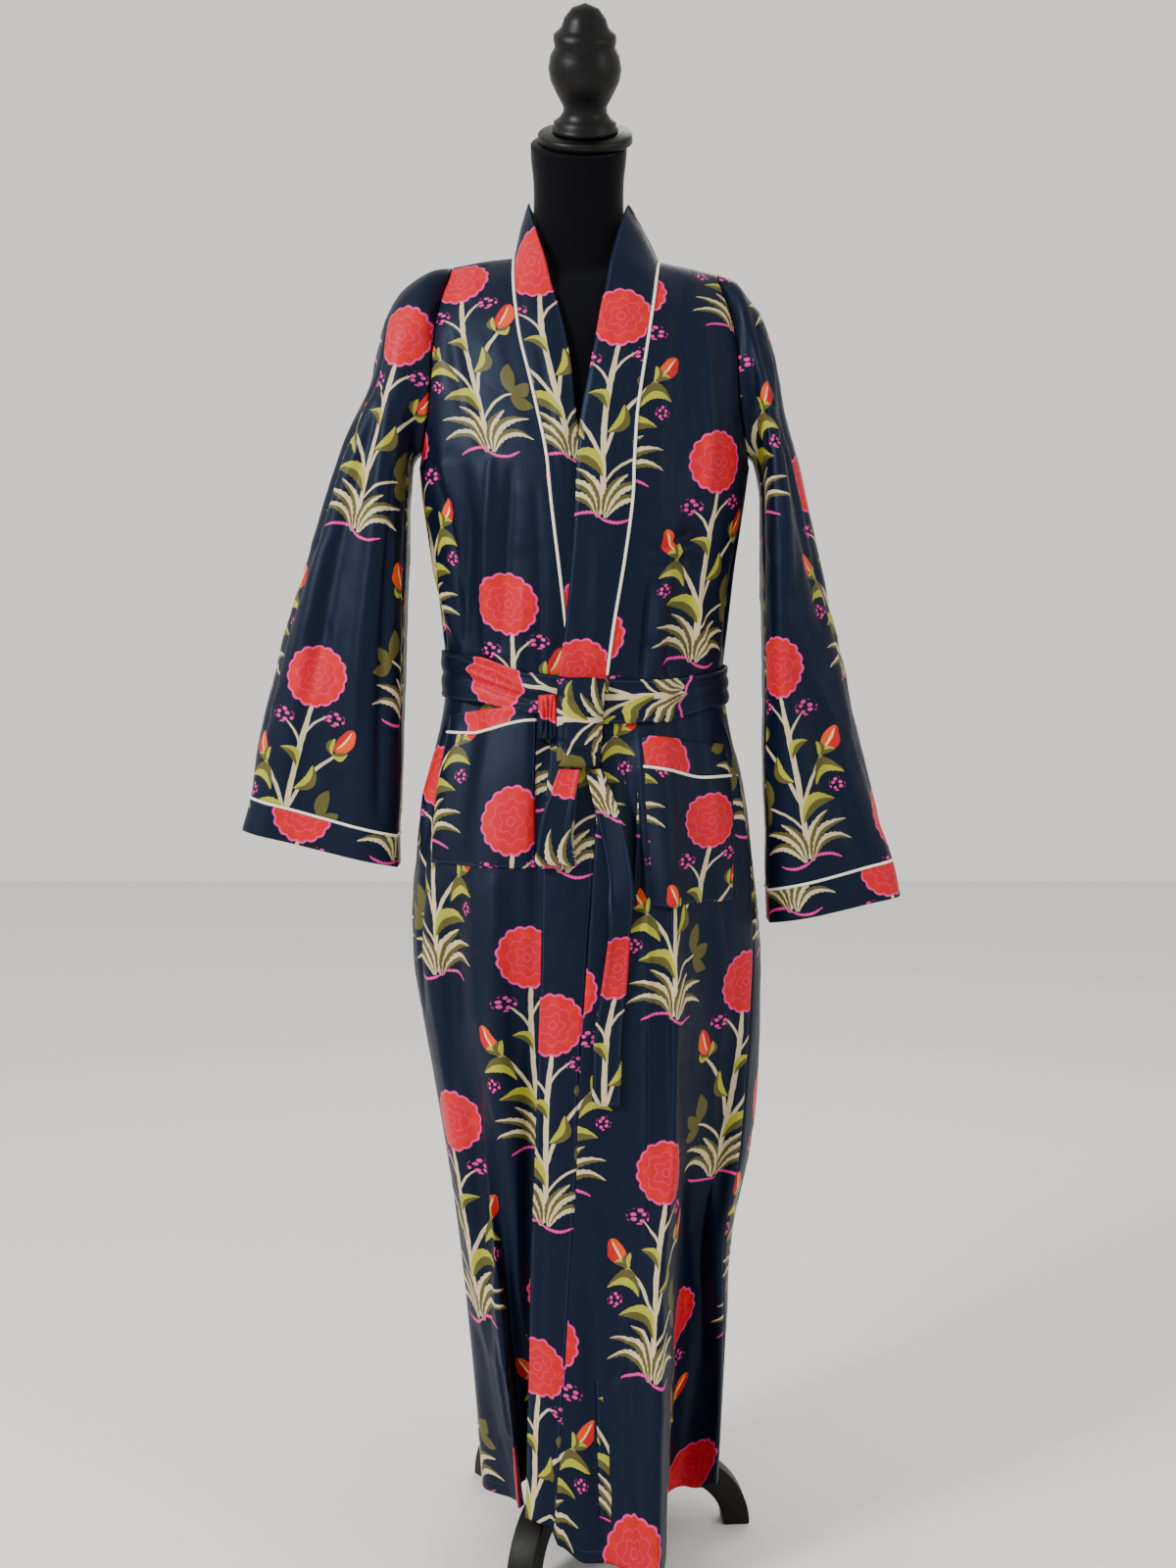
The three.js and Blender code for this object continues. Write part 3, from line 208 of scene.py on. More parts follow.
def bodyPoint(layer, angle, t):
    angle, t = np.broadcast_arrays(np.asarray(angle, float), np.asarray(t, float))
    level = bodyValue("level", t)
    sine, cosine = np.sin(np.radians(angle)), np.cos(np.radians(angle))
    halfX = np.where(sine < 0, bodyValue("left", t), bodyValue("right", t))
    halfY = np.where(cosine > 0, bodyValue("front", t), bodyValue("back", t))
    x = np.sign(sine) * halfX * np.abs(sine) ** robe["round"]
    y = -np.sign(cosine) * halfY * np.abs(cosine) ** robe["round"]
    drop = robe["shoulderDrop"] * (np.abs(x) / robe["shoulderReach"]) ** 1.5
    z = level - bodyValue("slope", t) * (drop + robe["shoulderLean"] * x)
    if layer == "under":
        y = y + robe["underInset"] * smooth((x - bodyValue("over", t) + .02) / .017)
    side = np.where(angle < 0, bodyValue("sideLeft", t), bodyValue("sideRight", t))
    room = robe["seamFade"] if layer == "back" else side - np.abs(angle)
    for fold in folds[layer]:
        share = foldShare(fold, angle, level, room)
        x = x + fold[3] * share
        y = y + fold[4] * share
    low = np.clip((robe["hemFrom"] - level) / (robe["hemFrom"] - robe["hemLevel"]), 0, 1)
    z = z + low * (softSteps(hem[layer], angle) - robe["hemLevel"])
    return np.stack([x, y, z], -1)


def bodyNormal(layer, angle, t):
    row = np.maximum(t, .02)
    along = bodyPoint(layer, angle + .6, row) - bodyPoint(layer, angle - .6, row)
    down = bodyPoint(layer, angle, np.minimum(t + .04, lastRow)) - bodyPoint(layer, angle, row - .02)
    return unit(np.cross(down, along))


def unit(vectors):
    return vectors / np.maximum(np.linalg.norm(vectors, axis=-1, keepdims=True), 1e-12)


def evenRows(pointAt, start, end, spacing):  # row positions at even distances along the surface
    dense = np.linspace(start, end, 1500)
    run = lengthsAlong(pointAt(dense))
    count = max(2, round(run[-1] / spacing) + 1)
    return np.interp(np.linspace(0, run[-1], count), run, dense)


def gridNormals(grid, closed=False):
    if closed:  # the last column repeats the first
        wide = np.concatenate([grid[:, -2:-1], grid, grid[:, 1:2]], axis=1)
        along = wide[:, 2:] - wide[:, :-2]
    else:
        along = np.gradient(grid, axis=1)
    return unit(np.cross(np.gradient(grid, axis=0), along))


def running(steps):  # the sum of the steps so far, along the last axis, from 0
    return np.concatenate([np.zeros((*steps.shape[:-1], 1)), np.cumsum(steps, axis=-1)], axis=-1)


def lengthsAlong(points):
    return running(np.linalg.norm(np.diff(points, axis=0), axis=1))


def lengthsAcross(grid):
    return running(np.linalg.norm(np.diff(grid, axis=1), axis=2))


def lengthsDown(grid):
    return running(np.linalg.norm(np.diff(grid, axis=0), axis=2).T).T


def clothLengths(grid, column=0):  # the cloth's own coordinates, in metres, along both ways
    u = lengthsAcross(grid)
    v = -lengthsAlong(grid[:, column])
    return np.stack([u - u[:, column:column + 1], np.broadcast_to(v[:, None], u.shape)], -1)


# Where the middle of a flower lies on a piece: x, z, the side that is seen, -1 for the front, and
# the print's turn on the piece.
printPlaces = {
    "front_right": (.136, 1.183, -1, 0), "front_left": (-.083, 1.032, -1, 0),
    "back": (.01, 1.236, 1, 0), "band_neck": (-.03, 1.43, 1, 90),
    "band_right": (.035, 1.33, -1, 0), "band_left": (-.06, 1.393, -1, 0),
    "sleeve_right": (.201, .968, -1, 0), "sleeve_left": (-.287, .958, -1, 0),
    "cuff_right": (.184, .748, -1, 0), "cuff_left": (-.293, .87, -1, 0),
    "pocket_right": (.13, .808, -1, 0), "pocket_left": (-.081, .809, -1, 0),
    "pocket_band_right": (.081, .868, -1, 0), "pocket_band_left": (-.12, 1.05, -1, 0),
    "belt_waist": (-.1, .955, -1, 90), "belt_wrap": (.045, .915, -1, 90),
    "belt_knot": (.1, 1.1, -1, 90), "belt_tail": (.03, .66, -1, 0), "belt_loop": (.02, .9, -1, 90),
}
# Edges that are turned in and stitched, and how far the stitches lie from them.
stitched = {
    "front_right": (("bottom",), .012), "front_left": (("bottom",), .012), "back": (("bottom",), .012),
    "band_right": (("first", "last"), .0026), "band_left": (("first", "last"), .0026),
    "pocket_right": (("first", "last", "bottom"), .0022),
    "pocket_left": (("first", "last", "bottom"), .0022),
    "belt_waist": (("top", "bottom"), .0026), "belt_wrap": (("last",), .0026),
    "belt_tail": (("first", "last", "bottom"), .0026), "belt_loop": (("first", "last"), .0026),
}
hemLine = .011


def layPrint(name, grid, uv):
    if name not in printPlaces:
        return uv
    x, z, facing, turn = printPlaces[name]
    away = np.hypot(grid[..., 0] - x, grid[..., 2] - z) + (grid[..., 1] * facing < 0)
    nearest = np.unravel_index(away.argmin(), away.shape)
    u, v = np.moveaxis(uv - uv[nearest], -1, 0)
    cosine, sine = math.cos(math.radians(turn)), math.sin(math.radians(turn))
    return np.stack([u * cosine + v * sine, v * cosine - u * sine], -1)


def hemDistance(name, grid):  # how far each point is from the stitched edge, and how far along it
    down, along = lengthsDown(grid), lengthsAcross(grid)
    away, run = np.ones(grid.shape[:2]), along
    sides, at = stitched.get(name, ((), 0))
    reach = {"top": down, "bottom": down[-1:] - down, "first": along, "last": along[:, -1:] - along}
    for side in sides:
        closer = reach[side] + hemLine - at < away
        run = np.where(closer, along if side in ("top", "bottom") else down, run)
        away = np.where(closer, reach[side] + hemLine - at, away)
    return np.stack([away, run], -1)


def gridMesh(name, grid, uv, outward, closed=False):  # a bmesh grid laid on rows of points
    rows, cols = grid.shape[:2]
    bm = bmesh.new()
    uvLayer = bm.loops.layers.uv.new("cloth")
    hemLayer = bm.loops.layers.uv.new("hem")
    hems = hemDistance(name, grid).reshape(-1, 2)
    uv = layPrint(name, grid, uv)
    bmesh.ops.create_grid(bm, x_segments=cols - 1, y_segments=rows - 1, size=.5)
    points = (grid + shift).reshape(-1, 3)
    flat = uv.reshape(-1, 2)
    bm.verts.ensure_lookup_table()
    for vert, point in zip(bm.verts, points):
        vert.co = point
    for face in bm.faces:
        for loop in face.loops:
            loop[uvLayer].uv = flat[loop.vert.index]
            loop[hemLayer].uv = hems[loop.vert.index]
    bm.normal_update()
    middle = bm.verts[(rows // 2) * cols + cols // 2]
    if middle.normal.dot(outward[rows // 2, cols // 2]) < 0:
        bmesh.ops.reverse_faces(bm, faces=bm.faces)
    if closed:
        bmesh.ops.remove_doubles(bm, verts=bm.verts, dist=1e-6)
    return finishMesh(name, bm)


def pieceName(node):  # the piece that stands for a node has its name in camelCase, and Piece
    first, *others = node.split("_")
    return first + "".join(word.capitalize() for word in others) + "Piece"


def finishMesh(node, bm, smoothShade=True):
    name = pieceName(node)
    mesh = bpy.data.meshes.new(name)
    bm.to_mesh(mesh)
    bm.free()
    for polygon in mesh.polygons:
        polygon.use_smooth = smoothShade
    piece = bpy.data.objects.new(name, mesh)
    bpy.context.scene.collection.objects.link(piece)
    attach(piece, "root")
    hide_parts(node)
    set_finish(piece, slotOf[node])
    return piece


def addWall(piece, thickness):  # the cloth's thickness, inside the sheet
    wall = piece.modifiers.new("wall", "SOLIDIFY")
    wall.thickness = thickness
    wall.offset = -1
    wall.material_offset = 1
    wall.material_offset_rim = 0
    return piece


print("creases")
# Creases on the cloth, by piece and by the way they face: -1 front, 1 back, 2 right, -2 left. A row
# has the width, the depth, which is less than 0 for a trough, 1 for a sharp one to 2 for a soft one,
# and the points it passes: x and z of each, or y and z on the right and left.
creases = {
    "front_right": {-1: [
        (.005, -.004, 1, .065, 1.086, .091, 1.097, .125, 1.115),
        (.004, -.0026, 1, .063, 1.07, .091, 1.076, .119, 1.084),
        (.004, .0024, 1.5, .069, 1.078, .095, 1.087, .123, 1.1),
        (.012, -.003, 2, .1, 1.359, .098, 1.25, .089, 1.13),
        (.008, .0025, 2, .122, 1.32, .129, 1.22, .123, 1.13),
        (.005, -.003, 1.5, .065, 1.06, .061, 1.01, .056, .949),
        (.005, -.003, 1.5, .091, 1.05, .087, .999, .085, .959),
        (.005, .0024, 1.5, .077, 1.05, .073, .999, .069, .949),
        (.006, .0024, 2, .113, 1.06, .118, 1.01, .124, .969),
        (.008, -.003, 2, .033, .908, .041, .847, .049, .744),
        (.006, .0045, 1.4, .053, .906, .058, .796, .064, .641, .066, .379),
        (.009, -.004, 1.6, .077, .906, .082, .796, .078, .641, .083, .432),
        (.0016, -.0009, 1, .074, .682, .113, .679, .154, .681),
        (.0016, -.0009, 1, .064, .556, .103, .555, .149, .557),
        (.0018, .001, 1, .047, .317, .079, .308),
        (.011, -.004, 2, .105, .589, .11, .432, .116, .294),
        (.007, .003, 2, .132, .537, .136, .379, .141, .22),
        (.012, -.003, 2, -.002, .326, .01, .166, .021, .016),
        (.01, .003, 2, .042, .294, .052, .166, .058, .048),
        (.008, -.0024, 1.5, .021, .22, .057, .284, .079, .326),
        (.007, -.003, 1.6, .138, .888, .145, .785, .148, .682),
    ], 2: [
        (.006, -.003, 1.6, -.03, 1.12, -.036, 1.05, -.03, .99),
        (.008, .003, 1.8, -.05, .9, -.06, .78, -.055, .66),
    ]},
    "front_left": {-1: [
        (.007, -.0034, 1.5, -.193, 1.261, -.174, 1.201, -.15, 1.131, -.132, 1.04),
        (.007, .003, 1.8, -.2, 1.211, -.182, 1.151, -.162, 1.07, -.14, .999),
        (.006, -.003, 1.5, -.204, 1.151, -.189, 1.09, -.167, 1.02),
        (.007, .003, 1.8, -.101, 1.181, -.105, 1.09, -.108, .994),
        (.007, -.0026, 1.8, -.079, 1.171, -.085, 1.08, -.09, .989),
        (.006, -.0026, 1.8, -.123, 1.131, -.128, 1.05, -.13, .994),
        (.005, -.003, 1.4, -.053, 1.151, -.05, 1.05, -.049, .969),
        (.005, .0022, 1.6, -.067, 1.05, -.071, .964),
        (.01, -.0024, 2, -.145, 1.32, -.131, 1.251, -.115, 1.181),
        (.007, .003, 1.6, -.171, .928, -.176, .847, -.174, .744),
        (.011, -.0034, 2, -.142, .738, -.146, .64, -.143, .515),
        (.012, .003, 2, -.097, .744, -.095, .63, -.098, .483),
        (.011, -.004, 2, -.124, .588, -.117, .431, -.113, .293),
        (.0016, -.0008, 1, -.175, .684, -.123, .679, -.067, .679),
        (.0016, -.0007, 1, -.159, .494, -.104, .487, -.062, .491),
        (.007, .003, 1.8, -.098, .325, -.094, .218, -.084, .143),
    ], -2: [
        (.006, -.003, 1.6, -.03, 1.12, -.036, 1.05, -.03, .99),
        (.008, -.0034, 1.8, -.05, .9, -.058, .76, -.05, .6),
        (.009, .0034, 1.8, -.03, .5, -.04, .36, -.03, .2),
    ]},
    "band_right": {-1: [
        (.0016, -.0008, 1, -.048, .69, .002, .687),
        (.0035, -.0009, 1.5, -.002, 1.11, -.004, 1.03, -.008, .959),
        (.0035, .0009, 1.5, .012, 1.105, .01, 1.03, .004, .959),
        (.0016, -.0007, 1, -.053, .493, -.01, .49),
        (.006, -.0009, 2, .026, 1.347, .04, 1.229, .03, 1.129),
        (.006, -.0009, 2, -.041, .643, -.045, .436, -.05, .204),
    ]},
    "band_left": {-1: [
        (.005, -.0008, 2, -.052, 1.319, -.038, 1.22, -.028, 1.13),
    ]},
    "sleeve_right": {-1: [
        (.008, -.005, 1.5, .177, 1.336, .207, 1.226, .219, 1.175, .251, 1.012),
        (.011, -.004, 2, .162, 1.328, .174, 1.206, .179, 1.093),
        (.007, .003, 1.8, .196, 1.297, .204, 1.185, .214, 1.051),
        (.012, -.0032, 2, .208, 1.01, .24, .906, .281, .79),
        (.01, .003, 2, .177, 1.051, .18, .927, .199, .79),
        (.004, -.0024, 1.4, .146, 1.328, .155, 1.308, .162, 1.272),
        (.009, .0024, 2, .25, .947, .274, .864, .304, .78),
        (.0016, -.0007, 1, .186, .858, .241, .868, .297, .874),
        (.005, -.002, 1.5, .167, 1.257, .196, 1.216, .219, 1.185),
    ], 2: [
        (.008, -.0036, 1.6, -.04, 1.3, -.03, 1.2, -.045, 1.06),
        (.009, .003, 1.8, .01, 1.33, .022, 1.22, .012, 1.1),
        (.008, -.0034, 1.6, .04, 1.28, .042, 1.14, .03, .98),
        (.009, -.003, 1.8, -.05, 1.08, -.02, .99, -.024, .86),
        (.009, .003, 1.8, -.01, 1.02, .006, .92, -.004, .8),
        (.008, -.0028, 1.8, .036, .94, .026, .84, .02, .76),
    ], 1: [
        (.009, -.0036, 1.7, .172, 1.32, .2, 1.2, .228, 1.06),
        (.01, .0032, 1.8, .205, 1.14, .206, 1, .212, .86),
        (.01, -.0032, 1.8, .24, 1.08, .262, .95, .285, .82),
        (.008, -.003, 1.6, .186, 1.16, .192, 1.02, .2, .88),
    ]},
    "sleeve_left": {-1: [
        (.011, -.004, 2, -.221, 1.318, -.229, 1.226, -.265, 1.093, -.294, .947),
        (.009, .003, 2, -.212, 1.257, -.223, 1.134, -.239, 1.01, -.251, .885),
        (.008, -.004, 1.8, -.205, 1.175, -.212, 1.051, -.219, .927, -.225, .811),
        (.0016, -.0008, 1, -.354, .858, -.293, .853, -.225, .843),
        (.011, .0024, 2, -.285, 1.093, -.307, .968, -.324, .853),
        (.005, -.0026, 1.5, -.235, 1.328, -.246, 1.257, -.257, 1.185),
        (.004, -.0024, 1.4, -.206, 1.328, -.214, 1.297, -.223, 1.257),
    ], -2: [
        (.008, -.0036, 1.6, -.036, 1.33, -.03, 1.24, -.042, 1.1),
        (.009, .003, 1.8, .008, 1.36, .02, 1.26, .008, 1.13),
        (.008, -.0034, 1.6, .044, 1.3, .04, 1.18, .034, 1.02),
        (.009, -.003, 1.8, -.044, 1.1, -.022, 1.01, -.03, .9),
        (.009, .003, 1.8, -.006, 1.05, .008, .96, -.002, .86),
        (.008, -.0028, 1.8, .034, .99, .028, .9, .018, .83),
    ], 1: [
        (.009, -.0036, 1.7, -.2, 1.34, -.225, 1.24, -.252, 1.1),
        (.01, .0032, 1.8, -.21, 1.16, -.222, 1.02, -.238, .88),
        (.01, -.0032, 1.8, -.262, 1.1, -.29, .98, -.322, .86),
        (.008, -.003, 1.6, -.195, 1.15, -.204, 1.02, -.212, .88),
    ]},
    "belt_waist": {-1: [
        (.003, -.0022, 1.2, -.139, .978, -.101, .966, -.066, .947, -.045, .937),
        (.003, -.002, 1.2, -.131, .957, -.091, .942, -.053, .932),
        (.0042, .004, 1.6, -.135, .969, -.095, .954, -.05, .937),
        (.002, -.0009, 1, .014, .927, .061, .936, .129, .954),
        (.004, .001, 2, .02, .935, .051, .933, .091, .945),
    ]},
    "back": {1: [
        (.01, -.0034, 1.6, -.14, 1.27, -.1, 1.2, -.04, 1.13),
        (.008, .003, 1.8, -.15, 1.24, -.12, 1.17, -.07, 1.09),
        (.009, -.003, 1.6, .132, 1.26, .09, 1.19, .045, 1.12),
        (.008, .0026, 1.8, .14, 1.22, .11, 1.15, .06, 1.08),
        (.008, -.0024, 2, -.07, 1.375, -.088, 1.33, -.1, 1.27),
        (.009, -.0024, 2, .068, 1.375, .08, 1.32, .086, 1.25),
        (.005, -.003, 1.5, -.108, 1.1, -.106, 1.04, -.1, .99),
        (.006, -.0032, 1.5, -.064, 1.12, -.06, 1.05, -.06, .99),
        (.005, -.0028, 1.5, -.012, 1.11, -.015, 1.04, -.02, .99),
        (.006, -.0032, 1.5, .041, 1.13, .035, 1.06, .034, .99),
        (.005, -.003, 1.5, .092, 1.09, .09, 1.03, .084, .99),
        (.005, .0022, 1.8, -.038, 1.08, -.04, .99),
        (.005, .0022, 1.8, .063, 1.09, .06, .99),
        (.008, -.0034, 1.6, -.104, .93, -.112, .83, -.118, .66),
        (.009, .0034, 1.7, -.052, .93, -.056, .8, -.054, .58),
        (.008, -.003, 1.6, -.018, .93, -.02, .8, -.026, .6),
        (.009, .0034, 1.7, .03, .93, .034, .79, .03, .52),
        (.008, -.0034, 1.6, .074, .93, .082, .82, .088, .64),
        (.008, .003, 1.7, .118, .92, .13, .8, .136, .6),
        (.0016, -.0008, 1, -.172, .676, -.05, .681, .06, .678, .17, .682),
        (.0016, -.0008, 1, -.15, .49, -.03, .486, .15, .49),
        (.0016, -.0006, 1, -.15, 1.152, .02, 1.148, .14, 1.153),
        (.01, -.0034, 1.8, -.088, .5, -.082, .34, -.076, .2),
        (.01, .0032, 1.8, .02, .46, .012, .3, .008, .16),
        (.01, -.0034, 1.8, .094, .48, .1, .32, .1, .2),
    ], -1: [
        (.006, -.003, 1.6, .161, .66, .163, .54, .151, .38),
    ], 2: [
        (.006, -.003, 1.6, .02, 1.1, .026, 1.04, .03, .99),
        (.009, -.0034, 1.8, .05, .92, .058, .8, .05, .62),
        (.008, .003, 1.8, .02, .9, .026, .76, .02, .6),
        (.01, -.0036, 1.8, .04, .56, .034, .4, .044, .22),
    ], -2: [
        (.006, -.003, 1.6, .024, 1.1, .03, 1.04, .03, .99),
        (.009, -.0034, 1.8, .044, .92, .05, .8, .056, .64),
        (.008, .003, 1.8, .012, .88, .018, .74, .012, .56),
        (.01, -.0036, 1.8, .05, .54, .04, .38, .046, .2),
    ]},
    "belt_wrap": {-1: [
        (.0026, -.0026, 1.2, -.034, .94, -.006, .933, .02, .917),
        (.0034, .002, 1.6, -.034, .916, -.01, .91, .018, .894),
        (.0024, -.0026, 1.2, -.034, .893, -.012, .884, .014, .878),
        (.0024, -.002, 1.4, -.026, .956, -.028, .92, -.03, .87),
        (.0012, -.001, 1, .0125, .956, .0125, .91, .011, .866),
    ]},
    "belt_knot": {-1: [
        (.0013, -.0022, 1.2, -.046, .936, -.0445, .917, -.047, .896),
        (.0013, -.0024, 1.2, -.0405, .938, -.041, .918, -.04, .894),
        (.0012, -.002, 1.2, -.036, .936, -.0375, .916, -.035, .896),
    ]},
}
crease = {"gain": 1.8, "endRoom": .03, "taper": .5, "turnFrom": .1, "turnOver": .3}
swell = {"waves": 9, "stretch": 1.6, "twist": .8, "size": .11, "height": .0015, "fineSize": .035,
         "fineShare": .35}


def creaseHeight(points, path, width, depth, sharpness):
    path = np.reshape(path, (-1, 2))
    lengths = np.linalg.norm(np.diff(path, axis=0), axis=1)
    total = lengths.sum()
    nearest = np.full(points.shape[:-1], np.inf)
    along = np.zeros(points.shape[:-1])
    run = 0
    for start, end, length in zip(path[:-1], path[1:], lengths):
        way = (end - start) / length
        away = points - start
        reach = np.clip(away @ way, 0, length)
        distance = np.linalg.norm(away - reach[..., None] * way, axis=-1)
        closer = distance < nearest
        nearest = np.where(closer, distance, nearest)
        along = np.where(closer, (run + reach) / total, along)
        run += length
    taper = np.sqrt(np.clip(4 * (along + crease["endRoom"]) * (1 + crease["endRoom"] - along), 0, 1))
    reach = width * (1 - crease["taper"] + crease["taper"] * taper)
    return depth * np.exp(-((nearest / reach) ** sharpness)) * taper


def seamFade(grid, width, sides=("first", "last")):  # 0 on the seams, 1 away from them
    along = lengthsAcross(grid)
    fade = np.ones(grid.shape[:2])
    if "first" in sides:
        fade = fade * smooth(along / width)
    if "last" in sides:
        fade = fade * smooth((along[:, -1:] - along) / width)
    return fade


def softWaves(uv, size, seed):  # slow uneven rise and fall of cloth that hangs, about -1 to 1
    draws = np.random.default_rng(seed)
    total = np.zeros(uv.shape[:-1])
    for _ in range(swell["waves"]):
        turn = draws.uniform(0, math.pi)
        scale = size * draws.uniform(.6, 1.6)
        wave = (uv[..., 0] * math.cos(turn) * swell["stretch"] + uv[..., 1] * math.sin(turn)) / scale
        total += np.sin(2 * math.pi * (wave + draws.uniform()) + swell["twist"] * total)
    return total / swell["waves"]


def press(name, grid, normals, uv, fade, waveHeight=swell["height"]):  # creases and slow waves
    seed = sum(ord(letter) for letter in name)
    height = waveHeight * softWaves(uv, swell["size"], seed)
    height += waveHeight * swell["fineShare"] * softWaves(uv, swell["fineSize"], seed + 1)
    for facing, rows in creases[name].items():
        seen, axis = (normals[..., 1], 0) if abs(facing) == 1 else (normals[..., 0], 1)
        way = smooth((seen * np.sign(facing) + crease["turnFrom"]) / crease["turnOver"]) * crease["gain"]
        for width, depth, sharpness, *path in rows:
            height += creaseHeight(grid[..., [axis, 2]], path, width, depth, sharpness) * way
    return grid + normals * (height * fade)[..., None]


print("panels")
layers = {
    "over": {"sign": 1, "edge": "over", "seam": "overSeam", "side": "sideRight", "name": "right"},
    "under": {"sign": -1, "edge": "under", "seam": "underSeam", "side": "sideLeft", "name": "left"},
}
seamRoll = {"depth": .0014, "width": .003}


def seamAngle(layer, t):
    return angleAt(bodyValue(layers[layer]["seam"], t), t)


def frontAngle(layer, share, t):
    facts = layers[layer]
    side = facts["sign"] * bodyValue(facts["side"], t)
    start = seamAngle(layer, t)
    return start + (side - start) * share


def rollSeams(grid, normals, sides):  # the cloth dips a little into its seams
    fade = seamFade(grid, seamRoll["width"], sides)
    return grid - normals * (seamRoll["depth"] * (1 - fade))[..., None]


def frontPanel(layer):
    name = "front_" + layers[layer]["name"]
    middleLine = lambda t: bodyPoint(layer, frontAngle(layer, .5, t), t)
    t = evenRows(middleLine, 0, lastRow, robe["spacing"])[:, None]
    share = np.linspace(0, 1, 96)[None, :]
    if layer == "under":
        share = share[:, ::-1]
    angle = frontAngle(layer, share, t)
    grid = bodyPoint(layer, angle, t)
    normals = bodyNormal(layer, angle, t)
    seamColumn = 0 if layer == "over" else -1
    uv = clothLengths(grid, column=seamColumn % 96)
    grid = press(name, grid, normals, uv, seamFade(grid, .03))
    grid = rollSeams(grid, normals, ("last",) if layer == "over" else ("first",))
    return addWall(gridMesh(name, grid, uv, normals), robe["cloth"])


def backAngle(share, t):
    right, left = bodyValue("sideRight", t), bodyValue("sideLeft", t)
    armhole = t <= robe["armholeRow"]
    start = np.where(armhole, 180 - right, right)
    end = np.where(armhole, 180 + left, 360 - left)
    return start + (end - start) * share


def neckDip(angle):  # how many rows the neckline lies below the shoulder line
    x = bodyPoint("back", angle, np.zeros_like(angle))[..., 0]
    share = np.clip(np.abs(x - robe["neckCentre"]) / robe["neckHalf"], 0, 1)
    return robe["neckRows"] * np.sqrt(1 - share**2)


def backPanel():
    t = evenRows(lambda row: bodyPoint("back", 150 + 0 * row, row), 0, lastRow, robe["spacing"])[:, None]
    share = np.linspace(0, 1, 132)[None, :]
    dip = neckDip(backAngle(share, 0 * share))
    row = t + dip * np.clip(1 - t / robe["neckFadeRows"], 0, 1)
    angle = backAngle(share, t)
    grid = bodyPoint("back", angle, row)
    normals = bodyNormal("back", angle, row)
    uv = clothLengths(grid, column=66)
    grid = press("back", grid, normals, uv, seamFade(grid, .03))
    grid = rollSeams(grid, normals, ("first", "last"))
    return addWall(gridMesh("back", grid, uv, normals), robe["cloth"])


frontRight, frontLeft = frontPanel("over"), frontPanel("under")
back = backPanel()

print("bands")
band = {"cloth": .0016, "columns": 14, "endRow": 4, "nearSeam": .35, "crown": .0016, "rise": .0008,
        "riseSize": .05, "riseSeed": 31, "fade": .004, "waves": .0004}
standingEdge = {  # where the free edges stand off the chest, up to the neck points
    "over": [(.043, -.008, 1.461), (.038, -.026, 1.447), (.031, -.042, 1.424), (.0235, -.061, 1.394)],
    "under": [(-.064, -.008, 1.463), (-.061, -.024, 1.449), (-.055, -.04, 1.427),
              (-.045, -.06, 1.396)],
}
neckBand = {"halfX": .0535, "backY": .056, "frontY": -.008, "top": 1.462, "backDrop": .012,
            "neckX": -.01, "columns": 90}


def bandPoint(layer, share, t):
    seam = seamAngle(layer, t)
    edgeAngle = angleAt(bodyValue(layers[layer]["edge"], t), t)
    onBody = bodyPoint(layer, seam + (edgeAngle - seam) * share, t)
    joins = bodyPoint(layer, angleAt(bodyValue(layers[layer]["edge"], band["endRow"]), band["endRow"]),
                      band["endRow"])
    follows = bodyPoint(layer, angleAt(bodyValue(layers[layer]["edge"], 5), 5), 5)
    edge = curveThrough([*standingEdge[layer], joins, follows], np.minimum(t, 5))
    start = bodyPoint(layer, seam, t)
    standing = start + (edge - start) * np.broadcast_to(share, np.shape(seam + share))[..., None]
    own = smooth(t - band["endRow"] + 1)[..., None]
    return standing + (onBody - standing) * own


def bandPanel(layer):
    name = "band_" + layers[layer]["name"]
    t = evenRows(lambda row: bandPoint(layer, .5, row), 0, lastRow, robe["spacing"])[:, None]
    share = np.linspace(0, 1, band["columns"])[None, :]
    if layer == "over":
        share = share[:, ::-1]
    grid = bandPoint(layer, share, t)
    normals = gridNormals(grid)
    seamNormal = bodyNormal(layer, seamAngle(layer, t), t)
    nearSeam = (1 - smooth(share / band["nearSeam"]))[..., None]
    normals = unit(normals + (seamNormal - normals) * nearSeam)
    uv = clothLengths(grid, column=0 if layer == "under" else band["columns"] - 1)
    crown = band["crown"] * np.sin(math.pi * share) ** .5
    crown = crown + band["rise"] * softWaves(uv, band["riseSize"], band["riseSeed"])
    grid = grid + normals * (crown * np.sin(math.pi * np.clip(share, .02, .98)))[..., None]
    grid = press(name, grid, normals, uv, seamFade(grid, band["fade"]), band["waves"])
    return addWall(gridMesh(name, grid, uv, normals), band["cloth"])


def neckSeam(share):
    start, end = (180 - angleAt(bodyValue(seam, 0), 0) for seam in ("overSeam", "underSeam"))
    angle = start + (end - start) * share
    return angle, neckDip(angle)


def neckPanel():
    share = np.linspace(0, 1, neckBand["columns"])
    angle, row = neckSeam(share)
    seam = bodyPoint("back", angle, row)
    turn = math.pi * share
    top = np.stack([
        neckBand["neckX"] + neckBand["halfX"] * np.cos(turn),
        neckBand["frontY"] + (neckBand["backY"] - neckBand["frontY"]) * np.sin(turn),
        neckBand["top"] - neckBand["backDrop"] * np.sin(turn),
    ], -1)
    rise = np.linspace(0, 1, band["columns"])[:, None, None]
    grid = top + (seam - top) * rise
    normals = gridNormals(grid)
    uv = clothLengths(grid, column=0)[..., ::-1]
    grid = grid + normals * (band["crown"] * np.sin(math.pi * rise) ** .5)
    return addWall(gridMesh("band_neck", grid, uv, normals), band["cloth"])


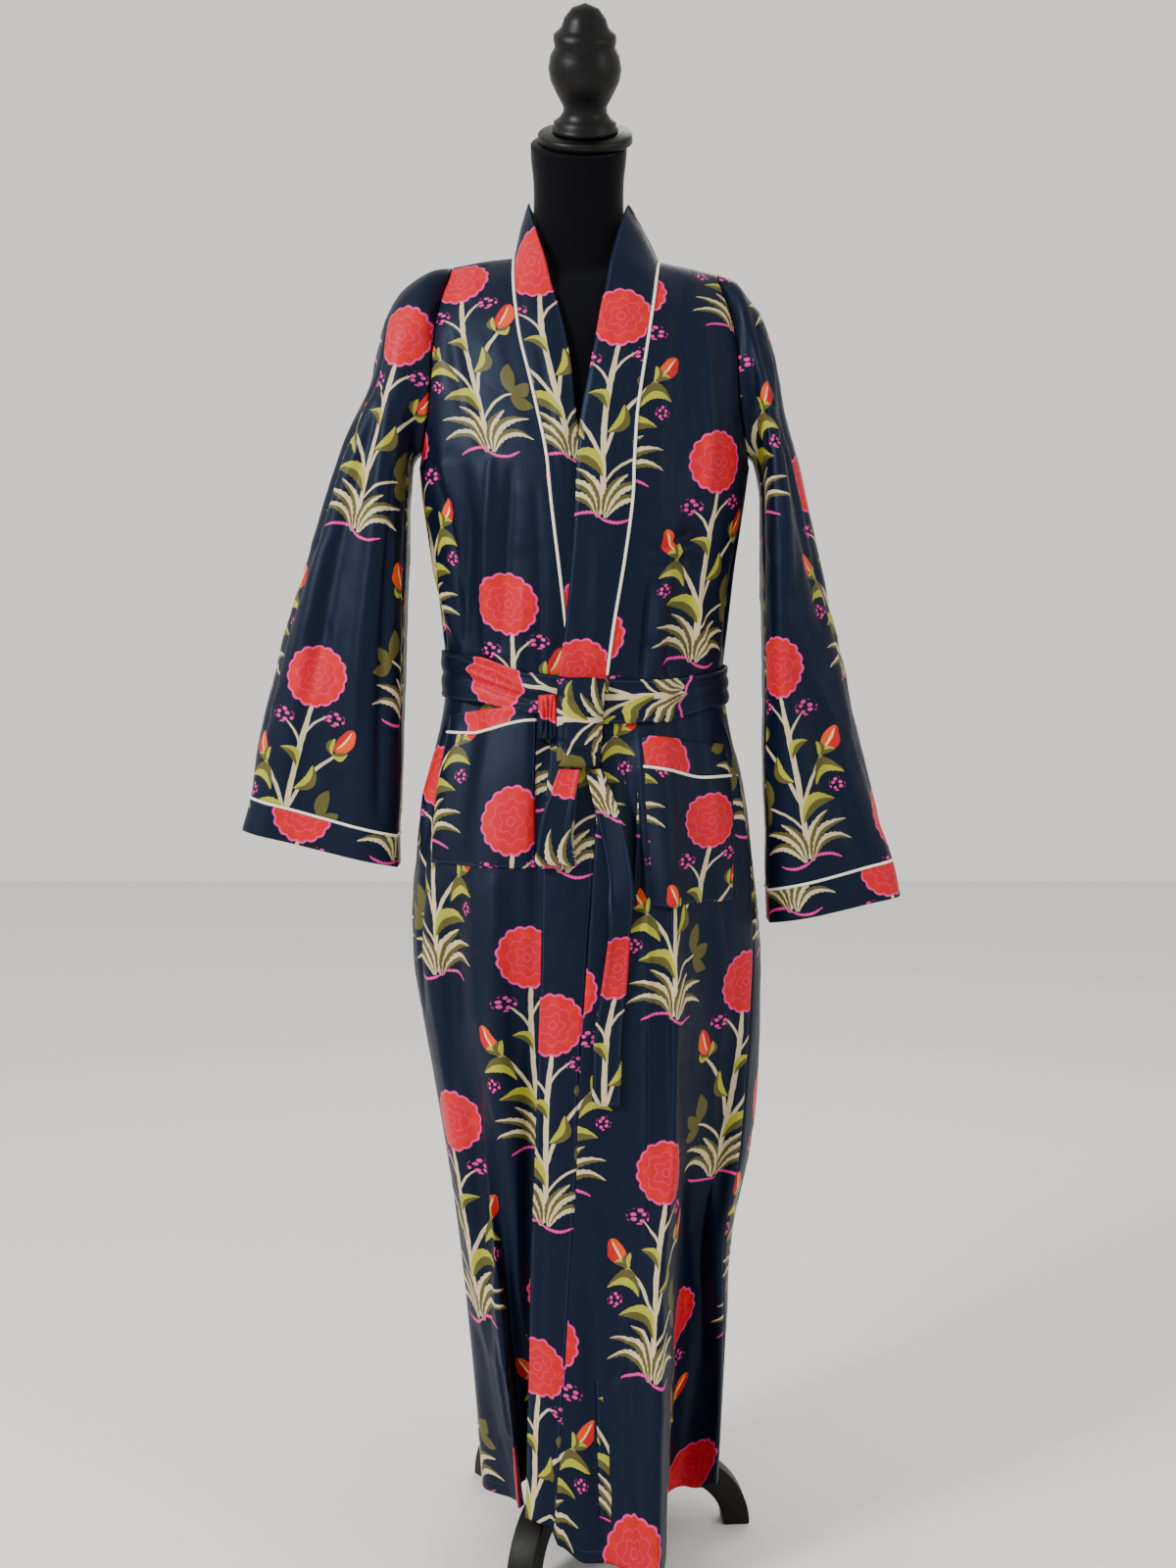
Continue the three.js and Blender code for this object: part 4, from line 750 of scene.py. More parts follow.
bandRight, bandLeft = bandPanel("over"), bandPanel("under")
bandNeck = neckPanel()

print("sleeves")
sleeveRows = {  # x and z of the outer side, x and z of the inner side, half depth, middle y
    "right": [
        [.158, 1.38, .179, 1.184, .06, 0],
        [.172, 1.362, .184, 1.174, .064, 0],
        [.186, 1.343, .187, 1.15, .067, 0],
        [.199, 1.306, .188, 1.115, .07, 0],
        [.211, 1.246, .188, 1.07, .074, -.002],
        [.229, 1.18, .188, 1.015, .075, -.004],
        [.25, 1.088, .189, .95, .071, -.006],
        [.267, 1.01, .189, .89, .063, -.008],
        [.289, .906, .19, .835, .054, -.01],
        [.312, .817, .19, .78, .046, -.011],
        [.333, .758, .189, .724, .04, -.012],
        [.342, .718, .19, .688, .038, -.012],
    ],
    "left": [
        [-.166, 1.392, -.187, 1.184, .06, 0],
        [-.188, 1.38, -.191, 1.174, .064, 0],
        [-.206, 1.362, -.193, 1.15, .067, 0],
        [-.22, 1.33, -.194, 1.115, .07, 0],
        [-.234, 1.275, -.194, 1.07, .073, -.002],
        [-.262, 1.213, -.194, 1.015, .072, -.004],
        [-.299, 1.1, -.194, .95, .067, -.006],
        [-.331, .99, -.195, .89, .06, -.008],
        [-.351, .915, -.195, .848, .052, -.01],
        [-.362, .866, -.196, .812, .045, -.011],
        [-.368, .826, -.197, .782, .04, -.012],
        [-.378, .79, -.196, .748, .038, -.012],
    ],
}
sleeveFolds = {  # angle round the sleeve, spread, depth, first row, row where it is full
    "right": [(62, 40, -.008, 1, 5), (118, 34, .006, 3, 6), (262, 38, -.008, 2, 6)],
    "left": [(75, 36, -.008, 1, 5), (128, 32, .006, 3, 7), (250, 36, -.007, 2, 6)],
}
sleeveCut = {"columns": 65, "cuffRow": 11, "sideRow": 20, "spacing": .0035, "cuffSpacing": .004,
             "seamFade": .025, "lean": .4}


def armholeRing(sign):
    layer = "over" if sign > 0 else "under"
    side = "sideRight" if sign > 0 else "sideLeft"
    down = evenRows(lambda t: bodyPoint(layer, sign * bodyValue(side, t), t), 0, robe["armholeRow"],
                    sleeveCut["spacing"])[:sleeveCut["columns"]]
    down = np.interp(np.linspace(0, len(down) - 1, sleeveCut["columns"]), np.arange(len(down)), down)
    up = down[-2::-1]
    front = bodyPoint(layer, sign * bodyValue(side, down), down)
    rear = bodyPoint("back", 180 - sign * bodyValue(side, up), up)
    return np.concatenate([front, rear])


def sleeveSection(row, angles, sign, side, k):
    outX, outZ, inX, inZ, depth, y = row
    cosine, sine = np.cos(angles), np.sin(angles)
    reach = np.sign(cosine) * np.abs(cosine) ** robe["round"]
    bulge = np.zeros_like(angles)
    for at, spread, high, first, full in sleeveFolds[side]:
        away = np.abs(np.degrees(angles) - at) / spread
        bulge += high * np.clip(1 - away**2, 0, 1) ** 2 * smooth((k - first) / (full - first))
    x = (outX + inX) / 2 + (outX - inX) / 2 * reach + cosine * sign * sleeveCut["lean"] * bulge
    z = (outZ + inZ) / 2 + (outZ - inZ) / 2 * reach
    y = y - np.sign(sine) * depth * np.abs(sine) ** robe["round"] - sine * bulge
    return np.stack([x, y, z], -1)


def sleeveGrid(side, sign, fromRow, toRow, spacing):
    ring = armholeRing(sign)
    topZ, lowZ = ring[0, 2], ring[sleeveCut["columns"] - 1, 2]
    halfY = np.abs(ring[:, 1]).max()
    angles = np.arctan2(-ring[:, 1] / halfY, (ring[:, 2] - (topZ + lowZ) / 2) / ((topZ - lowZ) / 2))
    angles = np.where(angles < -1e-6, angles + 2 * math.pi, np.maximum(angles, 0))
    angles[0], angles[-1] = 0, 2 * math.pi
    coarse = [ring] + [sleeveSection(row, angles, sign, side, k)
                       for k, row in enumerate(sleeveRows[side])]
    sideLine = [ring[sleeveCut["sideRow"]] for ring in coarse]
    t = evenRows(lambda row: curveThrough(sideLine, row), fromRow, toRow, spacing)
    grid = curveThrough(coarse, t)
    underarm = sleeveCut["columns"] - 1
    return np.concatenate([grid[:, underarm:-1], grid[:, :underarm + 1]], axis=1)


def sleeveCloth(grid, sign, axis):  # the print runs straight down the sleeve
    across = np.array([-axis[2], 0, axis[0]])
    steps = np.diff(grid, axis=1)
    reach = np.hypot(steps @ across, steps[..., 1])
    u = running(reach)
    middle = 3 * (grid.shape[1] - 1) // 4
    u = u - u[:, middle:middle + 1] - sign * (grid[:, middle:middle + 1] @ across)
    return np.stack([u, -grid @ axis], -1)


def sleevePiece(side, sign):
    name = "sleeve_" + side
    grid = sleeveGrid(side, sign, 0, sleeveCut["cuffRow"], robe["spacing"])
    normals = gridNormals(grid, True) * -sign
    axis = unit((grid[-1].mean(0) - grid[0].mean(0)) * (1, 0, 1))
    uv = sleeveCloth(grid, sign, axis)
    fade = smooth(lengthsDown(grid) / sleeveCut["seamFade"])
    grid = press(name, grid, normals, uv, fade)
    piece = addWall(gridMesh(name, grid, uv, normals, True), robe["cloth"])
    cuffGrid = sleeveGrid(side, sign, sleeveCut["cuffRow"], sleeveCut["cuffRow"] + 1,
                          sleeveCut["cuffSpacing"])
    cuffNormals = gridNormals(cuffGrid, True) * -sign
    cuffUv = sleeveCloth(cuffGrid, sign, axis)
    cuff = addWall(gridMesh("cuff_" + side, cuffGrid, cuffUv, cuffNormals, True), band["cloth"])
    return piece, cuff, cuffGrid[0], cuffNormals[0]


sleeveRight, cuffRight, cuffSeamRight, cuffNormalRight = sleevePiece("right", 1)
sleeveLeft, cuffLeft, cuffSeamLeft, cuffNormalLeft = sleevePiece("left", -1)

print("piping")
piping = {"radius": .00155, "sides": 10, "lift": .0004, "level": .96, "spacing": .004}


def ringFrames(path, normals):  # normals kept square to the path
    way = unit(np.gradient(path, axis=0))
    normals = unit(normals - way * (normals * way).sum(-1, keepdims=True))
    return normals, np.cross(way, normals)


def roundCord(name, path, normals, radius, closed=False):
    up, side = ringFrames(path, normals)
    turn = np.linspace(0, 2 * math.pi, piping["sides"] + 1)
    radius = np.broadcast_to(radius, len(path))[:, None, None]
    ring = np.cos(turn)[None, :, None] * up[:, None] + np.sin(turn)[None, :, None] * side[:, None]
    grid = path[:, None] + radius * ring
    uv = clothLengths(grid)
    piece = gridMesh(name, grid, uv, ring, closed=True)
    if not closed:
        capEnds(piece)
    return piece


def capEnds(piece):
    bm = bmesh.new()
    bm.from_mesh(piece.data)
    edges = [edge for edge in bm.edges if edge.is_boundary]
    bmesh.ops.holes_fill(bm, edges=edges, sides=0)
    bmesh.ops.recalc_face_normals(bm, faces=bm.faces)
    bm.to_mesh(piece.data)
    bm.free()


def bandPiping(layer):
    endRow = rowAt(piping["level"])
    t = evenRows(lambda row: bodyPoint(layer, seamAngle(layer, row), row), 0, endRow,
                 piping["spacing"])
    path = bodyPoint(layer, seamAngle(layer, t), t)
    normals = bodyNormal(layer, seamAngle(layer, t), t)
    path = path + normals * piping["lift"]
    return roundCord("piping_band_" + layers[layer]["name"], path, normals, piping["radius"])


def neckPiping():
    angle, row = neckSeam(np.linspace(0, 1, 90))
    path = bodyPoint("back", angle, row)
    normals = bodyNormal("back", angle, row)
    return roundCord("piping_neck", path + normals * piping["lift"], normals, piping["radius"])


pipingBandRight = bandPiping("over")
pipingBandLeft = bandPiping("under")
pipingNeck = neckPiping()
pipingCuffRight = roundCord("piping_cuff_right", cuffSeamRight + cuffNormalRight * piping["lift"],
                            cuffNormalRight, piping["radius"], closed=True)
pipingCuffLeft = roundCord("piping_cuff_left", cuffSeamLeft + cuffNormalLeft * piping["lift"],
                           cuffNormalLeft, piping["radius"], closed=True)

print("pockets")
pocket = {"lift": .0022, "edgeLift": .0009, "first": 2 / 14, "last": 10 / 14, "columns": 60,
          "spacing": .005, "sag": .0025, "slantEnd": .62, "sideFall": .08}
pocketLevels = {
    "over": {"mouth": .898, "piping": .852, "bottom": .722, "trim": (.0002, .015), "rise": .013},
    "under": {"mouth": .935, "piping": .898, "bottom": .76, "trim": (.006, .019), "rise": .014},
}


def pocketPoint(layer, share, t, lift):
    angle = frontAngle(layer, share, t)
    lift = np.broadcast_to(lift, np.shape(angle))[..., None]
    return bodyPoint(layer, angle, t) + bodyNormal(layer, angle, t) * lift


def pocketPieces(layer):
    side = layers[layer]["name"]
    levels = pocketLevels[layer]
    share = np.linspace(pocket["first"], pocket["last"], pocket["columns"])[None, :]
    if layer == "under":
        share = share[:, ::-1]
    across = (share - pocket["first"]) / (pocket["last"] - pocket["first"])
    inside = np.clip(np.minimum(across, 1 - across) / pocket["sideFall"], 0, 1)
    mouth, seam, bottom = (np.round(rowAt(levels[key])) for key in ("mouth", "piping", "bottom"))
    pieces = []
    seamLift = pocket["edgeLift"] + pocket["lift"] * smooth(inside)
    rowHeight = (levels["mouth"] - levels["piping"]) / (seam - mouth)
    slant = levels["rise"] * (1 - smooth(across / pocket["slantEnd"])) / rowHeight
    for name, start, end in (("pocket_", seam, bottom), ("pocket_band_", mouth, seam)):
        t = evenRows(lambda row: pocketPoint(layer, .4, row, 0), start, end, pocket["spacing"])
        drop = np.linspace(0, 1, len(t))[:, None]
        t = t[:, None] - slant * smooth(1 - drop if name == "pocket_" else drop)
        if name == "pocket_":
            lift = pocket["edgeLift"] + pocket["lift"] * smooth(inside) * (1 - drop**3)
        else:
            lift = seamLift + pocket["sag"] * smooth(inside) * (1 - drop) ** 2
        grid = pocketPoint(layer, share, t, lift)
        if name == "pocket_band_":  # the mouth ends below the belt
            lower = levels["trim"][0] + (levels["trim"][1] - levels["trim"][0]) * across
            downwards = (grid[-1] - grid[0]) / np.linalg.norm(grid[-1] - grid[0], axis=-1)[:, None]
            grid = grid + downwards * lower[0][:, None] * (1 - drop)[..., None]
        normals = gridNormals(grid)
        uv = clothLengths(grid)
        piece = addWall(gridMesh(name + side, grid, uv, normals), robe["cloth"])
        pieces.append(piece)
        if name == "pocket_":
            path, pathNormals = grid[0], normals[0]
    cordPath = path + pathNormals * piping["lift"]
    pieces.append(roundCord("piping_pocket_" + side, cordPath, pathNormals, piping["radius"]))
    return pieces


pocketRight, pocketBandRight, pipingPocketRight = pocketPieces("over")
pocketLeft, pocketBandLeft, pipingPocketLeft = pocketPieces("under")

print("belt")
belt = {"clearance": .0018, "cloth": .002, "columns": 260, "rows": 22, "pleat": .0022, "pleats": 2.4,
        "twist": .0012, "waves": .0005}
beltRows = [(-180, .934, .983), (-90, .936, .986), (-45, .93, .98), (-16, .918, .962), (0, .908, .956),
            (25, .909, .955), (60, .923, .962), (90, .93, .97), (180, .934, .983)]


def beltPoint(angle, level, distance):
    t = rowAt(level)
    front = np.abs(angle) < 90
    behind = (angle + 360) % 360
    facing = bodyPoint("over", angle, t) + bodyNormal("over", angle, t) * distance[..., None]
    rear = bodyPoint("back", behind, t) + bodyNormal("back", behind, t) * distance[..., None]
    return np.where(front[..., None], facing, rear)


def waistBelt():
    angle = np.linspace(-180, 180, belt["columns"])[None, :]
    rise = np.linspace(1, 0, belt["rows"])[:, None]
    low, high = (softSteps([(row[0], row[k]) for row in beltRows], angle) for k in (1, 2))
    level = low + (high - low) * rise
    turns = belt["pleats"] * math.pi * (rise + belt["twist"] * angle)
    pleats = belt["pleat"] * np.abs(np.sin(turns)) ** .8
    distance = belt["clearance"] + belt["cloth"] + pleats * np.sin(math.pi * rise) ** .4
    grid = beltPoint(angle + 0 * rise, level, distance + 0 * angle)
    normals = gridNormals(grid, True)
    uv = clothLengths(grid)
    grid = press("belt_waist", grid, normals, uv, 1, belt["waves"])
    return addWall(gridMesh("belt_waist", grid, uv, normals, True), belt["cloth"])


beltWaist = waistBelt()

print("tied belt")
frontLift = belt["clearance"] + belt["cloth"] + belt["pleat"]
tied = {"upright": .3, "rounding": .45, "sideFall": .5, "waist": .04, "level": .935, "gap": .0003,
        "fade": .002, "waves": .0006, "cloth": .0012, "tail": .002}
wrap = {"x": -.007, "z": .9104, "width": .05, "height": .094, "depth": .02, "lean": 4.9, "narrow": .1,
        "shift": -.003, "angle": 0, "columns": 46, "rows": 110}
knot = {"x": -.041, "z": .916, "width": .021, "height": .047, "depth": .013, "lean": 4.9, "narrow": -.1,
        "shift": 0, "angle": -18, "columns": 32, "rows": 70}
tailRows = [  # x, z, width, turn, distance from the front
    (.006, .8636, .018, 0, .009), (.022, .812, .026, -14, .012), (.033, .752, .028, -24, .013),
    (.033, .7, .025, 26, .012), (.028, .648, .026, 12, .009), (.021, .59, .029, 3, .007),
    (.019, .516, .03, 0, .007),
]
loopRows = [
    (-.019, .8636, .022, 0, .016), (-.032, .815, .031, 0, .019), (-.035, .782, .036, 0, .018),
    (-.034, .769, .042, 0, .016), (-.033, .765, .044, 0, .011), (-.033, .769, .042, 0, .006),
    (-.031, .8, .033, 0, .005), (-.019, .8636, .022, 0, .007),
]


def frontY(x, z):
    return bodyPoint("over", angleAt(x, rowAt(z)), rowAt(z))[..., 1]


def ribbon(name, rows, thickness, folds):
    fine = curveThrough(rows, np.linspace(0, len(rows) - 1, 90))
    x, z, width, turn = fine.T[:4]
    coarse = [frontY(row[0], row[1]) - row[4] for row in rows]
    y = curveThrough(coarse, np.linspace(0, len(rows) - 1, 90))
    middle = np.stack([x, y, z], -1)
    half = np.stack([np.cos(np.radians(turn)), np.sin(np.radians(turn)), 0 * turn], -1)
    across = np.linspace(-1, 1, 25)
    grid = middle[:, None] + half[:, None] * (across[None, :, None] * width[:, None, None] / 2)
    normals = gridNormals(grid)
    uv = clothLengths(grid)
    for at, wide, height in folds:
        grid = grid + normals * (height * np.exp(-(((across - at) / wide) ** 2)))[None, :, None]
    return addWall(gridMesh(name, grid, uv, normals), thickness)


def squared(wave, power):  # a sine or cosine with fuller shoulders
    return np.sign(wave) * np.abs(wave) ** power


def bundle(name, size):  # a turn of the belt round the waist belt, closed behind it
    turn = np.linspace(0, 2 * math.pi, 2000)
    high = squared(np.cos(turn), tied["upright"]) * size["height"] / 2
    deep = (1 + squared(np.sin(turn), tied["rounding"])) * size["depth"] / 2
    run = np.concatenate([[0], np.cumsum(np.hypot(np.diff(high), np.diff(deep)))])
    even = np.linspace(0, run[-1], size["rows"])
    high, deep = (np.interp(even, run, values)[:, None] for values in (high, deep))
    share = np.linspace(-1, 1, size["columns"])[None, :]
    lower = .5 - high / size["height"]
    x = share * size["width"] / 2 * (1 - size["narrow"] * lower) + size["shift"] * lower
    deep = deep * (1 - tied["sideFall"] * np.abs(share) ** 5)
    high = high * (1 - tied["waist"] * share**2)
    face = bodyPoint("over", size["angle"], rowAt(tied["level"]))[1] - frontLift - tied["gap"]
    cosine, sine = math.cos(math.radians(size["lean"])), math.sin(math.radians(size["lean"]))
    grid = np.stack([size["x"] + x, face - deep * cosine + high * sine,
                     size["z"] + high * cosine + deep * sine], -1)
    normals = gridNormals(grid)
    outwards = np.sign((normals * (grid - grid.mean((0, 1)))).sum(-1).mean())
    normals = normals * outwards
    uv = clothLengths(grid, column=size["columns"] // 2)
    grid = press(name, grid, normals, uv, seamFade(grid, tied["fade"]), tied["waves"])
    return addWall(gridMesh(name, grid, uv, normals), tied["cloth"])


beltWrap = bundle("belt_wrap", wrap)
beltKnot = bundle("belt_knot", knot)
beltTail = ribbon("belt_tail", tailRows, tied["tail"], [(-.75, .12, .0012), (.8, .1, .001)])
beltLoop = ribbon("belt_loop", loopRows, tied["tail"], [(-.8, .12, .001), (.78, .12, .001)])

print("dress form")
form = {"narrow": .93, "bottom": .83, "columns": 72, "neckX": -.01, "voxel": .005, "smoothing": 6,
        "flareFrom": 1.44, "flareReach": .06, "flareWiden": .4}
torsoInsets = [.0026, .0047, .0052, .0052, .0057, .0073, .0088, .0104, .0109]
neckProfile = [(.049, 1.38), (.049, 1.41), (.049, 1.44), (.0485, 1.47), (.0495, 1.495), (.052, 1.515),
               (.052, 1.6)]
cap = {"x": -.003, "y": 0, "z": 1.539, "thick": .011, "tilt": 28, "gap": .0003}
capProfile = [(0, -.011), (.0495, -.011), (.051, -.0095), (.051, -.0015), (.0495, 0), (0, 0)]
finialProfile = [
    (0, .0003), (.0355, .0003), (.0355, .006), (.033, .008), (.034, .011), (.028, .015), (.0235, .022),
    (.0235, .028), (.031, .042), (.037, .055), (.0389, .067), (.0365, .08), (.032, .088), (.0334, .095),
    (.033, .101), (.028, .105), (.025, .108), (.022, .117), (.014, .127), (0, .132),
]


def torsoRings():
    t = np.concatenate([np.linspace(0, 4, 21), np.linspace(4.3, float(rowAt(form["bottom"])), 60)])
    angle = (np.arange(form["columns"] + 1) + .5) * 360 / form["columns"] - 180
    inset = np.interp(t, np.arange(len(torsoInsets)), torsoInsets)
    rings = []
    for row, depth in zip(t, inset):
        rows = np.full_like(angle, max(row, .02))
        folded = (angle + 360) % 360
        facing = np.abs(((angle + 180) % 360) - 180) <= 90
        near = np.where(facing, ((angle + 180) % 360) - 180, 0)
        far = np.where(facing, 180, folded)
        ring = np.where(facing[:, None],
                        bodyPoint("over", near, rows) - bodyNormal("over", near, rows) * depth,
                        bodyPoint("back", far, rows) - bodyNormal("back", far, rows) * depth)
        ring[:, 0] *= form["narrow"]
        rings.append(ring)
    rings[-1][:, 2] = form["bottom"]
    return np.array(rings)


def neckRings():
    fine = curveThrough(neckProfile, np.linspace(0, len(neckProfile) - 1, 50))
    turn = np.linspace(0, 2 * math.pi, form["columns"] + 1)
    below = np.clip(form["flareFrom"] - fine[:, 1], 0, 1) / form["flareReach"]
    x = fine[:, :1] * np.cos(turn) * (1 + form["flareWiden"] * below[:, None] ** 2)
    y = fine[:, :1] * np.sin(turn)
    z = np.broadcast_to(fine[:, 1:], x.shape)
    return np.stack([x + form["neckX"], y, z], -1)


def formTorso():
    bm = bmesh.new()
    for rings in (torsoRings(), neckRings()):
        part = bmesh.new()
        rows, cols = rings.shape[:2]
        bmesh.ops.create_grid(part, x_segments=cols - 1, y_segments=rows - 1, size=.5)
        for vert, point in zip(part.verts, (rings + shift).reshape(-1, 3)):
            vert.co = point
        bmesh.ops.remove_doubles(part, verts=part.verts, dist=1e-5)
        bmesh.ops.holes_fill(part, edges=[edge for edge in part.edges if edge.is_boundary], sides=0)
        bmesh.ops.recalc_face_normals(part, faces=part.faces)
        joined = bpy.data.meshes.new("formPart")
        part.to_mesh(joined)
        part.free()
        bm.from_mesh(joined)
        bpy.data.meshes.remove(joined)
    piece = finishMesh("form_torso", bm)
    remesh = piece.modifiers.new("oneSkin", "REMESH")
    remesh.mode = "VOXEL"
    remesh.voxel_size = form["voxel"]
    piece.data = bpy.data.meshes.new_from_object(
        piece.evaluated_get(bpy.context.evaluated_depsgraph_get()))
    piece.modifiers.clear()
    bm = bmesh.new()
    bm.from_mesh(piece.data)
    for _ in range(form["smoothing"]):
        bmesh.ops.smooth_vert(bm, verts=bm.verts, factor=.5, use_axis_x=True, use_axis_y=True,
                              use_axis_z=True)
    tilt = math.radians(cap["tilt"])
    axis = np.array([0, -math.sin(tilt), math.cos(tilt)])
    seat = np.array([cap["x"], cap["y"], cap["z"]]) + shift - axis * (cap["thick"] + cap["gap"])
    cut = bmesh.ops.bisect_plane(bm, geom=bm.verts[:] + bm.edges[:] + bm.faces[:], dist=1e-6,
                                 plane_co=seat, plane_no=axis, clear_outer=True)
    rim = [edge for edge in cut["geom_cut"] if isinstance(edge, bmesh.types.BMEdge)]
    bmesh.ops.holes_fill(bm, edges=rim, sides=0)
    bm.to_mesh(piece.data)
    bm.free()
    for polygon in piece.data.polygons:
        polygon.use_smooth = True


def turned(name, profile, steps=72):  # a piece turned on the cap's tilted axis
    bm = bmesh.new()
    verts = [bm.verts.new((radius, 0, height)) for radius, height in profile]
    for low, high in zip(verts, verts[1:]):
        bm.edges.new((low, high))
    bmesh.ops.spin(bm, geom=bm.verts[:] + bm.edges[:], cent=(0, 0, 0), axis=(0, 0, 1),
                   angle=2 * math.pi, steps=steps, use_merge=True)
    bmesh.ops.remove_doubles(bm, verts=bm.verts, dist=1e-6)
    bmesh.ops.recalc_face_normals(bm, faces=bm.faces)
    tilt = math.radians(cap["tilt"])
    for vert in bm.verts:
        x, y, z = vert.co
        leanY = y * math.cos(tilt) - z * math.sin(tilt)
        leanZ = y * math.sin(tilt) + z * math.cos(tilt)
        vert.co = (x + cap["x"] + shift[0], leanY + cap["y"] + shift[1], leanZ + cap["z"])
    finishMesh(name, bm)


formTorso()
turned("neck_cap", capProfile)
turned("finial", finialProfile)

print("stand")
leg = {"width": .03, "bend": .108, "outer": .082, "inner": .052, "start": .0193, "angles": (5, 128, 250),
       "bevel": .0022, "steps": 20}


def legPiece(number, angle):
    bm = bmesh.new()
    turn = np.linspace(math.pi / 2, 0, leg["steps"])
    outline = [(leg["start"], leg["outer"])]
    outline += [(leg["bend"] + leg["outer"] * math.cos(a), leg["outer"] * math.sin(a)) for a in turn]
    outline += [(leg["bend"] + leg["inner"] * math.cos(a), leg["inner"] * math.sin(a))
                for a in turn[::-1]]
    outline += [(leg["start"], leg["inner"])]
    face = bm.faces.new([bm.verts.new((x, -leg["width"] / 2, z)) for x, z in outline])
    side = bmesh.ops.extrude_face_region(bm, geom=[face])
    moved = [vert for vert in side["geom"] if isinstance(vert, bmesh.types.BMVert)]
    bmesh.ops.translate(bm, vec=(0, leg["width"], 0), verts=moved)
    bmesh.ops.recalc_face_normals(bm, faces=bm.faces)
    sharp = [edge for edge in bm.edges if edge.calc_face_angle(0) > .6]
    bmesh.ops.bevel(bm, geom=sharp, offset=leg["bevel"], affect="EDGES", segments=3, profile=.5,
                    material=-1)
    bmesh.ops.rotate(bm, matrix=Matrix.Rotation(math.radians(angle), 3, "Z"), verts=bm.verts)
    bmesh.ops.translate(bm, vec=(poleX + shift[0], shift[1], 0), verts=bm.verts)
    finishMesh(f"leg_{number}", bm)


for number, angle in enumerate(leg["angles"], 1):
    legPiece(number, angle)

print("looks")


class Value:  # what comes out of a node. Sums with it make Math nodes
    def __init__(self, socket):
        self.socket = socket

    def __add__(self, other):
        return maths("ADD", self, other)

    def __sub__(self, other):
        return maths("SUBTRACT", self, other)

    def __rsub__(self, other):
        return maths("SUBTRACT", other, self)

    def __mul__(self, other):
        return maths("MULTIPLY", self, other)

    def __truediv__(self, other):
        return maths("DIVIDE", self, other)


def plug(socket, value):
    if isinstance(value, Value):
        socket.id_data.links.new(value.socket, socket)
    else:
        socket.default_value = value


def addNode(kind, output, inputs, tree=None, **settings):  # made in the tree of its inputs
    tree = tree or next(value.socket.id_data for value in inputs.values() if isinstance(value, Value))
    node = tree.nodes.new(kind)
    for key, value in settings.items():
        setattr(node, key, value)
    for key, value in inputs.items():
        plug(node.inputs[key], value)
    return Value(node.outputs[output])


def maths(operation, *values):
    return addNode("ShaderNodeMath", 0, dict(enumerate(values)), operation=operation)


def clamped(value):  # kept from 0 to 1
    value.socket.node.use_clamp = True
    return value


def vectorMaths(operation, inputs, output=0):
    return addNode("ShaderNodeVectorMath", output, inputs, operation=operation)


def length(vector):
    return vectorMaths("LENGTH", {0: vector}, "Value")


def separate(vector):
    value = addNode("ShaderNodeSeparateXYZ", "X", {"Vector": vector})
    return value, Value(value.socket.node.outputs["Y"])


def noise(vector, scale, detail=2, output="Fac", **inputs):
    inputs = {"Vector": vector, "Scale": scale, "Detail": detail, **inputs}
    return addNode("ShaderNodeTexNoise", output, inputs)


def stretched(vector, scale):
    return addNode("ShaderNodeMapping", 0, {"Vector": vector, "Scale": scale})


def placed(vector, place, size, angle=0):  # a motif of size 1, laid at a place of the print
    inputs = {"Vector": vector, "Location": (*place, 0), "Rotation": (0, 0, math.radians(angle)),
              "Scale": (*size, 1)}
    return addNode("ShaderNodeMapping", 0, inputs, vector_type="TEXTURE")


def mixColor(share, first, second, blend="MIX"):
    return addNode("ShaderNodeMix", 2, {0: share, 6: first, 7: second}, data_type="RGBA",
                   blend_type=blend)


def named(sockets):
    return {socket.name: Value(socket) for socket in sockets}


def newGroup(name, inputs, outputs):  # a Vector and a Color are what they are called, others floats
    tree = bpy.data.node_groups.new(name, "ShaderNodeTree")
    for labels, way in ((inputs, "INPUT"), (outputs, "OUTPUT")):
        for label in labels.split():
            kind = label if label in ("Vector", "Color") else "Float"
            tree.interface.new_socket(label, in_out=way, socket_type="NodeSocket" + kind)
    given, made = tree.nodes.new("NodeGroupInput"), tree.nodes.new("NodeGroupOutput")
    return tree, named(given.outputs), made.inputs


def usedGroup(group, **inputs):
    value = addNode("ShaderNodeGroup", 0, inputs, node_tree=group)
    return named(value.socket.node.outputs)


def linear(red, green, blue):  # a colour seen on a screen, as the shader needs it
    return (*((channel / 255) ** 2.2 for channel in (red, green, blue)), 1)


def strokeGroup():  # a brush stroke from 0 to 1 along x, bent, pointed, with toothed sides
    tree, given, made = newGroup("brushStroke", "Vector Bend Width Point Teeth Soft", "Mask Across")
    x, y = separate(given["Vector"])
    arch = maths("MAXIMUM", x * 4 * (1 - x), 0)
    across = y - arch * given["Bend"]
    teeth = maths("PINGPONG", x * 9, .5) * given["Teeth"] + 1
    width = maths("POWER", arch, given["Point"]) * given["Width"] * teeth
    plug(made["Mask"], clamped((width - maths("ABSOLUTE", across)) / given["Soft"]))
    plug(made["Across"], across / given["Width"])
    return tree


def ringLine(radius, at, width=.022):
    return clamped((maths("ABSOLUTE", radius - at) * -1 + width) / .02)


